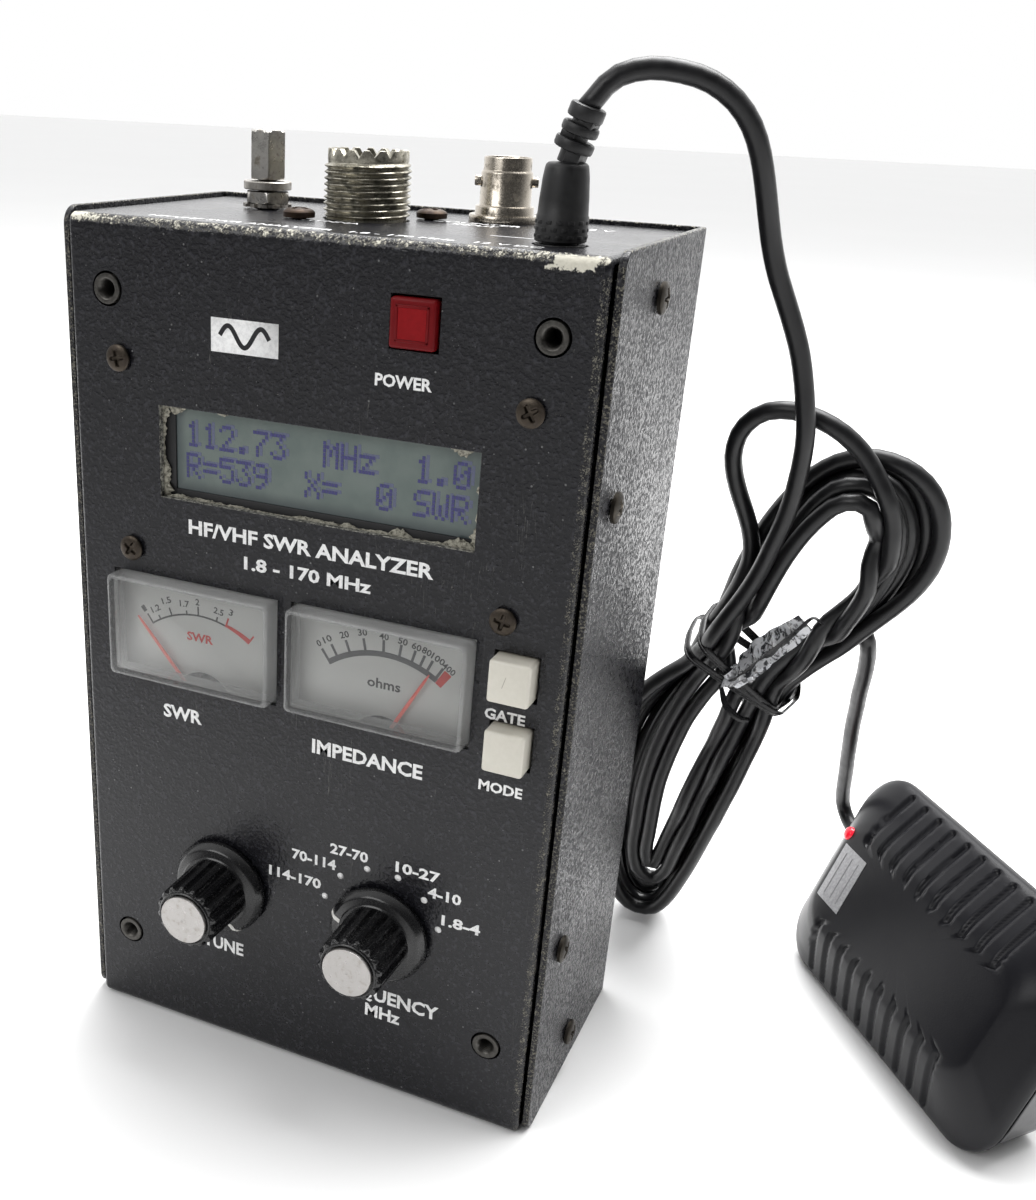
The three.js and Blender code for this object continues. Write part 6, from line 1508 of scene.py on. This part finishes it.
def screw(name, node, M, R, H, mat, gap=0.3, shank=4.0, sr=1.35):
    """Domed head with a cross recess."""
    g = Geo()
    A, B = 64, 26
    vs, fs = [], []
    vs.append(None)
    for j in range(1, B + 1):
        r = R * j / B
        for i in range(A):
            a = 2 * math.pi * i / A
            vs.append((r * math.cos(a), r * math.sin(a), 0))
    out = []
    for p in vs:
        px_, py_ = (0, 0) if p is None else p[:2]
        r = math.hypot(px_, py_) / R
        h = gap + H * (0.30 + 0.70 * math.sqrt(max(0.0, 1 - (r * 0.96) ** 2.4)))
        arm = 0.0
        for u, v_ in ((px_, py_), (py_, px_)):
            half = R * (0.115 + 0.05 * (1 - min(1, abs(u) / (R * 0.6))))
            e = min(1, max(0, (half - abs(v_)) / (R * 0.07) + 0.5)) * min(1, max(0, (R * 0.62 - abs(u)) / (R * 0.08) + 0.2))
            arm = max(arm, e)
        depth = min(H * 0.72, 0.9) * (1 - 0.35 * min(1, r / 0.62))
        out.append((px_, py_, h - arm * depth))
    for i in range(A):
        fs.append((0, 1 + i, 1 + (i + 1) % A))
    for j in range(B - 1):
        for i in range(A):
            a_, b_ = 1 + j * A + i, 1 + j * A + (i + 1) % A
            fs.append((a_, a_ + A, b_ + A, b_))
    top = 1 + (B - 1) * A
    base = len(out)
    for i in range(A):
        a = 2 * math.pi * i / A
        out.append((R * 0.985 * math.cos(a), R * 0.985 * math.sin(a), gap))
    for i in range(A):
        fs.append((top + i, base + i, base + (i + 1) % A, top + (i + 1) % A))
    fs.append(tuple(base + i for i in range(A)))
    g.add(out, fs, 0, M)
    g.lathe([(0, -shank), (sr, -shank), (sr, gap + 0.05), (0, gap + 0.05)], 20, 0, M)
    return g.make(name, mat, "case", "dark_steel", (node,), 38)


n = 0
for s in (-1, 1):
    for yy, zz in ((-3.3, 161.3), (-18, 128.7), (-18.5, 39.9), (-3.9, 9.7)):
        n += 1
        screw(f"cover_screw_head_{n}", f"cover_screw_{n}", to_axis((s * HALF, yy, zz), (s, 0, 0), 0.3 * n + 0.2), 2.75, 1.25, greyish)
for i, (xx, zz) in enumerate(((-39.7, 145), (39.7, 145), (-38.1, 108.9), (38.1, 108.9))):
    screw(f"panel_screw_head_{i + 1}", f"panel_screw_{i + 1}", to_axis((xx, FRONT_Y, zz), (0, -1, 0), 0.4 * i + 0.15), 2.45, 1.0, bronze)
for k in (-1, 1):
    screw(f"so239_screw_head_{1 if k < 0 else 2}", f"so239_screw_{1 if k < 0 else 2}", to_axis((SO239[0] + k * 9.14, SO239[1] + k * 9.14, TOP_Z), (0, 0, 1), 0.5 * k + 0.3), 2.9, 1.7, rusty)
hole_shade_m = plastic("sleeve_bottom_painted_shade", (0.004, 0.004, 0.004), (0.008, 0.008, 0.008), 0.7, 0.01)
for i, (xx, zz) in enumerate(((-42, 157), (42, 157), (-42, 19.35), (42, 19.35))):
    g = Geo()
    M_ = to_axis((xx, FRONT_Y, zz), (0, -1, 0))
    prof = [(2.75, -7), (2.75, 0.1), (2.66, 0.22), (2.5, 0.25), (2.0, 0.25), (1.85, 0.2), (1.62, -0.05)]
    for k in range(12):
        prof += [(1.45, -0.30 - 0.5 * k), (1.62, -0.55 - 0.5 * k)]
    prof += [(1.6, -7)]
    g.ring_lathe(prof, 56, 0, M_)
    # near-black disc closing the sleeve's bore: painted shade deep in the hole
    g.lathe([(0, -6.9), (1.55, -6.9), (1.55, -6.4), (0, -6.4)], 24, 1, M_)
    g.make(f"sleeve_{i + 1}", [worn, hole_shade_m], "case", "dark_steel", (f"panel_standoff_{i + 1}",), 40)

# ------------------------------------------------------------------ connectors
nk = Mat("aged_nickel", metal=1.0)
x, y, z = nk.xyz
a1_, a2_, a3_ = nk.noise(0.45, 4.0, 0.65), nk.noise(2.2, 4.0, 0.65), nk.noise(6.0, 2.0)
gr = nk.mx(nk.rng(a1_, 0.47, 0.66), nk.rng(a2_, 0.58, 0.70))
ncol = nk.mix(a3_, (0.30, 0.285, 0.235), (0.48, 0.455, 0.385))
ncol = nk.mix(nk.mul(gr, 0.85), ncol, (0.052, 0.050, 0.034))
nickel_m = nk.finish(ncol, nk.add(nk.rng(a2_, 0.3, 0.7, 0.24, 0.4), nk.mul(gr, 0.22)), nk.rng(gr, 0.1, 0.9, 1.0, 0.55), nk.bump(nk.add(a2_, nk.mul(a1_, 0.5)), 0.03))
g = Geo()
S = Matrix.Translation((SO239[0], SO239[1], 0))
NA = 192
zb, zt = TOP_Z - 3.0, TOP_Z + 11.9


def ringp(rf, zf):
    return [((rf(2 * math.pi * i / NA)) * math.cos(2 * math.pi * i / NA), (rf(2 * math.pi * i / NA)) * math.sin(2 * math.pi * i / NA), zf(2 * math.pi * i / NA)) for i in range(NA)]


rg = [ringp(lambda a: 7.45, lambda a: zb), ringp(lambda a: 7.45, lambda a: TOP_Z + 0.1)]
steps = 84
for k in range(steps + 1):
    zz = TOP_Z + 0.15 + (9.75) * k / steps
    fade = min(1, k / 5, (steps - k) / 6)

    def rf(a, zz=zz, fade=fade):
        u = (zz / 1.06 - a / (2 * math.pi)) % 1.0
        t = abs(2 * u - 1)
        t = min(1, max(0, (t - 0.14) / 0.72))
        return 7.30 + 0.64 * t * fade
    rg.append(ringp(rf, lambda a, zz=zz: zz))


def rim_z(a):
    u = (a * 16 / (2 * math.pi)) % 1.0
    t = abs(2 * u - 1)
    return zt - 1.2 * max(0.0, 1 - t / 0.62) ** 0.9


for f_, r in ((0.0, 7.36), (0.45, 7.36), (0.8, 7.34), (0.97, 7.3), (1.0, 7.2)):
    rg.append(ringp(lambda a, r=r: r, lambda a, f_=f_: (TOP_Z + 10.05) + (rim_z(a) - TOP_Z - 10.05) * f_))
for f_, r in ((1.0, 6.25), (0.97, 6.12), (0.8, 6.1), (0.0, 6.1)):
    rg.append(ringp(lambda a, r=r: r, lambda a, f_=f_: (TOP_Z + 10.05) + (rim_z(a) - TOP_Z - 10.05) * f_))
rg.append(ringp(lambda a: 6.1, lambda a: TOP_Z + 0.4))
rg.append(ringp(lambda a: 5.9, lambda a: TOP_Z - 0.2))
g.rings(rg, 0, S)
g.box(-12.7, 12.7, -12.7, 12.7, TOP_Z - 3.2, TOP_Z - 1.6, 0, 0.3, 1, S)
g.make("so239_barrel", nickel_m, "case", "nickel", ("so239_shell",), 40)
ins_m = plastic("insulator_aged", (0.30, 0.27, 0.205), (0.40, 0.365, 0.29), 0.45, 0.012, 0.8)
contact_m = metal("contact_silver", (0.34, 0.32, 0.27), (0.52, 0.49, 0.42), 0.32, (0.07, 0.06, 0.04), 0.7)
g = Geo()
g.lathe([(0, TOP_Z - 8), (3.7, TOP_Z - 8), (3.7, TOP_Z + 0.1), (5.6, TOP_Z + 0.1), (5.6, TOP_Z + 1.6), (5.2, TOP_Z + 2.1), (4.4, TOP_Z + 2.2), (3.2, TOP_Z + 2.3), (3.0, TOP_Z + 2.6), (0, TOP_Z + 2.6)], 72, 0, S)
# hollow contact split in four
for q_ in range(4):
    rg = []
    a0_ = math.radians(90 * q_ + 6)
    for k in range(13):
        a = a0_ + math.radians(78) * k / 12
        rg.append([(r * math.cos(a), r * math.sin(a), h) for r, h in ((2.0, TOP_Z + 2.3), (2.85, TOP_Z + 2.3), (2.85, TOP_Z + 8.9), (2.7, TOP_Z + 9.2), (2.2, TOP_Z + 9.2), (2.0, TOP_Z + 8.95))])
    g.rings(rg, 1, S)
g.make("so239_insert", [ins_m, contact_m], "case", "insulator", ("so239_contact",), 35)

bn_q = Mat("bnc_nickel", metal=1.0)
b1, b2 = bn_q.noise(0.6, 4.0, 0.65), bn_q.noise(3.0, 3.0, 0.6)
bg = bn_q.rng(b1, 0.52, 0.72)
bnc_m = bn_q.finish(bn_q.mix(bn_q.mul(bg, 0.7), bn_q.mix(b2, (0.33, 0.295, 0.25), (0.48, 0.44, 0.38)), (0.10, 0.082, 0.055)), bn_q.add(bn_q.rng(b2, 0.3, 0.7, 0.18, 0.3), bn_q.mul(bg, 0.25)), bn_q.rng(bg, 0.1, 0.9, 1.0, 0.65), bn_q.bump(b1, 0.012))
g = Geo()
BM = Matrix.Translation((BNC[0], BNC[1], 0)) @ Matrix.Rotation(math.radians(20), 4, "Z")
z = TOP_Z
g.lathe([(0, z - 9), (4.2, z - 9), (4.2, z + 0.02), (6.55, z + 0.02), (6.6, z + 0.15), (6.6, z + 0.95), (6.45, z + 1.25), (6.1, z + 1.32), (5.55, z + 1.36), (5.5, z + 1.5), (5.5, z + 2.6), (5.38, z + 2.8), (4.9, z + 2.86), (4.8, z + 3.0), (4.8, z + 8.5),
         (4.72, z + 8.75), (4.5, z + 8.95), (4.45, z + 9.1), (4.45, z + 11.05), (4.38, z + 11.25), (4.25, z + 11.3), (4.12, z + 11.25), (4.05, z + 11.1), (4.05, z + 2.0), (0, z + 2.0)], 72, 0, BM, (True, True))
for s in (-1, 1):
    g.lathe([(0, 4.4), (0.95, 4.4), (0.95, 5.72), (0.88, 5.86), (0.7, 5.92), (0, 5.95)], 24, 0, BM @ to_axis((0, 0, z + 7.1), (s, 0, 0)))
g.make("bnc_body", bnc_m, "case", "nickel", ("bnc_jack",), 38)
ivs = plastic("bnc_white_insulator", (0.55, 0.54, 0.50), (0.66, 0.65, 0.61), 0.4, 0.01)
g = Geo()
g.lathe([(0, z - 8.5), (2.3, z - 8.5), (2.3, z + 1.9), (3.75, z + 1.95), (3.8, z + 2.1), (3.8, z + 3.3), (3.6, z + 3.45), (2.4, z + 3.5), (2.25, z + 3.7), (2.25, z + 5.4), (2.1, z + 5.6), (1.0, z + 5.6), (0.75, z + 5.5), (0.72, z + 3.9), (0, z + 3.9)], 56, 0, BM)
g.ring_lathe([(0.72, z + 4.0), (0.98, z + 4.0), (0.98, z + 5.66), (0.9, z + 5.74), (0.72, z + 5.7)], 32, 1, BM)
g.make("bnc_insert", [ivs, contact_m], "case", "insulator", ("bnc_insulator",), 35)

zinc = metal("zinc_plate", (0.34, 0.33, 0.31), (0.48, 0.465, 0.44), 0.30, (0.11, 0.085, 0.055), 0.75, 0.5, 0.02)
zinc_d = metal("washer_steel", (0.30, 0.285, 0.26), (0.46, 0.44, 0.41), 0.38, (0.09, 0.07, 0.045), 0.85, 0.6, 0.025)
PMx = Matrix.Translation((POST[0], POST[1], 0))


def hexring(af, rmax, h, n=96):
    out = []
    for i in range(n):
        a = 2 * math.pi * i / n
        b = (a + math.pi / 6) % (math.pi / 3) - math.pi / 6 if False else ((a % (math.pi / 3)) - math.pi / 6)
        r = min(af / 2 / math.cos(b), rmax)
        out.append((r * math.cos(a), r * math.sin(a), h))
    return out


g = Geo()
g.rings([hexring(6.35, 3.2, z + 5.35), hexring(6.35, 3.5, z + 5.6), hexring(6.35, 4, z + 5.85), hexring(6.35, 4, z + 13.5), hexring(6.35, 3.55, z + 13.75), hexring(6.35, 3.2, z + 14.0), hexring(6.2, 2.9, z + 14.08), hexring(6.0, 2.6, z + 14.1)], 0, PMx)
prof = [(0, z - 6), (1.8, z - 6)]
for k in range(22):
    prof += [(1.72, z - 5.9 + k * 0.52), (1.95, z - 5.64 + k * 0.52)]
prof += [(1.8, z + 5.6), (0, z + 5.6)]
g.lathe(prof, 40, 0, PMx)
g.make("ground_post_hex", zinc, "case", "plated_steel", ("ground_post",), 30)
g = Geo()
rg = [hexring(7.9, 3.9, z + 0.98), hexring(7.9, 4.15, z + 1.1), hexring(7.9, 5, z + 1.3), hexring(7.9, 5, z + 2.85), hexring(7.9, 4.25, z + 3.1), hexring(7.9, 3.85, z + 3.2)]
g.rings(rg, 0, PMx)
star = []
for i in range(96):      # star washer under the nut
    a = 2 * math.pi * i / 96
    r = 4.7 - (0.75 if (i % 8) < 4 else 0)
    star.append((r * math.cos(a), r * math.sin(a)))
g.prism(star, z + 0.35, z + 0.95, 1, PMx)
g.make("ground_nut_hex", [zinc, zinc_d], "case", "plated_steel", ("ground_nut",), 30)
g = Geo()
g.ring_lathe([(2.3, z + 3.5), (4.45, z + 3.5), (4.6, z + 3.65), (4.6, z + 4.85), (4.45, z + 5.0), (2.3, z + 5.0)], 72, 0, PMx)
g.make("ground_washer_ring", zinc_d, "case", "plated_steel", ("ground_washer",), 30)

# ------------------------------------------------------------------ inside and other carried pieces
blackp = plastic("switch_black", (0.009, 0.009, 0.010), (0.016, 0.016, 0.017), 0.45, 0.01)
greyp = plastic("holder_grey", (0.06, 0.06, 0.065), (0.085, 0.085, 0.09), 0.5, 0.015)
alu_p = metal("capacitor_aluminium", (0.52, 0.52, 0.51), (0.66, 0.66, 0.65), 0.35, (0.2, 0.19, 0.17), 0.3)
carried("power_switch", blackp, 0.2)
carried("key_switches", blackp, 0.2)
carried("tuning_capacitor", alu_p, 0.2)
carried("band_switch", blackp, 0.2)
carried("circuit_board", board, 0.0)
carried("battery_holder_upper", greyp, 0.2)
carried("battery_holder_lower", greyp, 0.2)
carried("dc_inlet", blackp, 0.12)

# ------------------------------------------------------------------ floor, light, world
fl_q = Mat("floor_white", spec=0.2)
fx, fy, fz_ = fl_q.xyz
fn_ = fl_q.noise(0.004, 2.0)
# painted shade: the floor greys off in front of the case, so the front panel mirrors a darker floor
floor_front_shade = fl_q.rng(fy, -50, -260, 0.0, 1.0)
floor_m = fl_q.finish(fl_q.mix(floor_front_shade, fl_q.mix(fn_, (0.86, 0.86, 0.86), (0.88, 0.88, 0.88)), (0.42, 0.42, 0.42)), 0.7)
g = Geo()
g.box(-6000, 6000, -6000, 6000, -20, -0.1)
floor = bpy.data.meshes.new("floor")
floor.from_pydata([(a * MM, b * MM, c * MM) for a, b, c in g.v], [], g.f)
floor.materials.append(floor_m)
floor_ob = bpy.data.objects.new("floor", floor)
SCENE.collection.objects.link(floor_ob)


def area(name, at, aim, size, power, size_y=None):
    L = bpy.data.lights.new(name, "AREA")
    L.shape, L.size, L.size_y = "RECTANGLE", size, size_y or size
    L.energy = power
    ob = bpy.data.objects.new(name, L)
    SCENE.collection.objects.link(ob)
    ob.location = at
    ob.rotation_euler = (Vector(aim) - Vector(at)).to_track_quat("-Z", "Y").to_euler()
    return ob


area("overhead", (0.10, 0.36, 0.95), (0.04, 0.03, 0.05), 0.9, 20.5, 0.7)
area("front_fill", (-0.50, -0.95, 0.80), (0.0, 0.0, 0.08), 0.8, 6.0, 0.6)
world = bpy.data.worlds.new("studio")
SCENE.world = world
world.use_nodes = True
wt = world.node_tree
wt.nodes.clear()
wo = wt.nodes.new("ShaderNodeOutputWorld")
bg_cam, bg_lit, wm, lp = wt.nodes.new("ShaderNodeBackground"), wt.nodes.new("ShaderNodeBackground"), wt.nodes.new("ShaderNodeMixShader"), wt.nodes.new("ShaderNodeLightPath")
tcw = wt.nodes.new("ShaderNodeTexCoord")
dot_ = wt.nodes.new("ShaderNodeVectorMath")
dot_.operation = "DOT_PRODUCT"
dot_.inputs[1].default_value = (-0.35, 0.78, 0.52)
mr = wt.nodes.new("ShaderNodeMapRange")
mr.interpolation_type = "SMOOTHSTEP"
mr.inputs[1].default_value, mr.inputs[2].default_value, mr.inputs[3].default_value, mr.inputs[4].default_value = -0.30, 0.80, 0.12, 1.55
wt.links.new(tcw.outputs["Generated"], dot_.inputs[0])
wt.links.new(dot_.outputs["Value"], mr.inputs[0])
wt.links.new(mr.outputs[0], bg_lit.inputs["Strength"])
bg_cam.inputs[0].default_value = bg_lit.inputs[0].default_value = (1, 1, 1, 1)
bg_cam.inputs["Strength"].default_value = 1.0
wt.links.new(lp.outputs["Is Camera Ray"], wm.inputs[0])
wt.links.new(bg_lit.outputs[0], wm.inputs[1])
wt.links.new(bg_cam.outputs[0], wm.inputs[2])
wt.links.new(wm.outputs[0], wo.inputs[0])
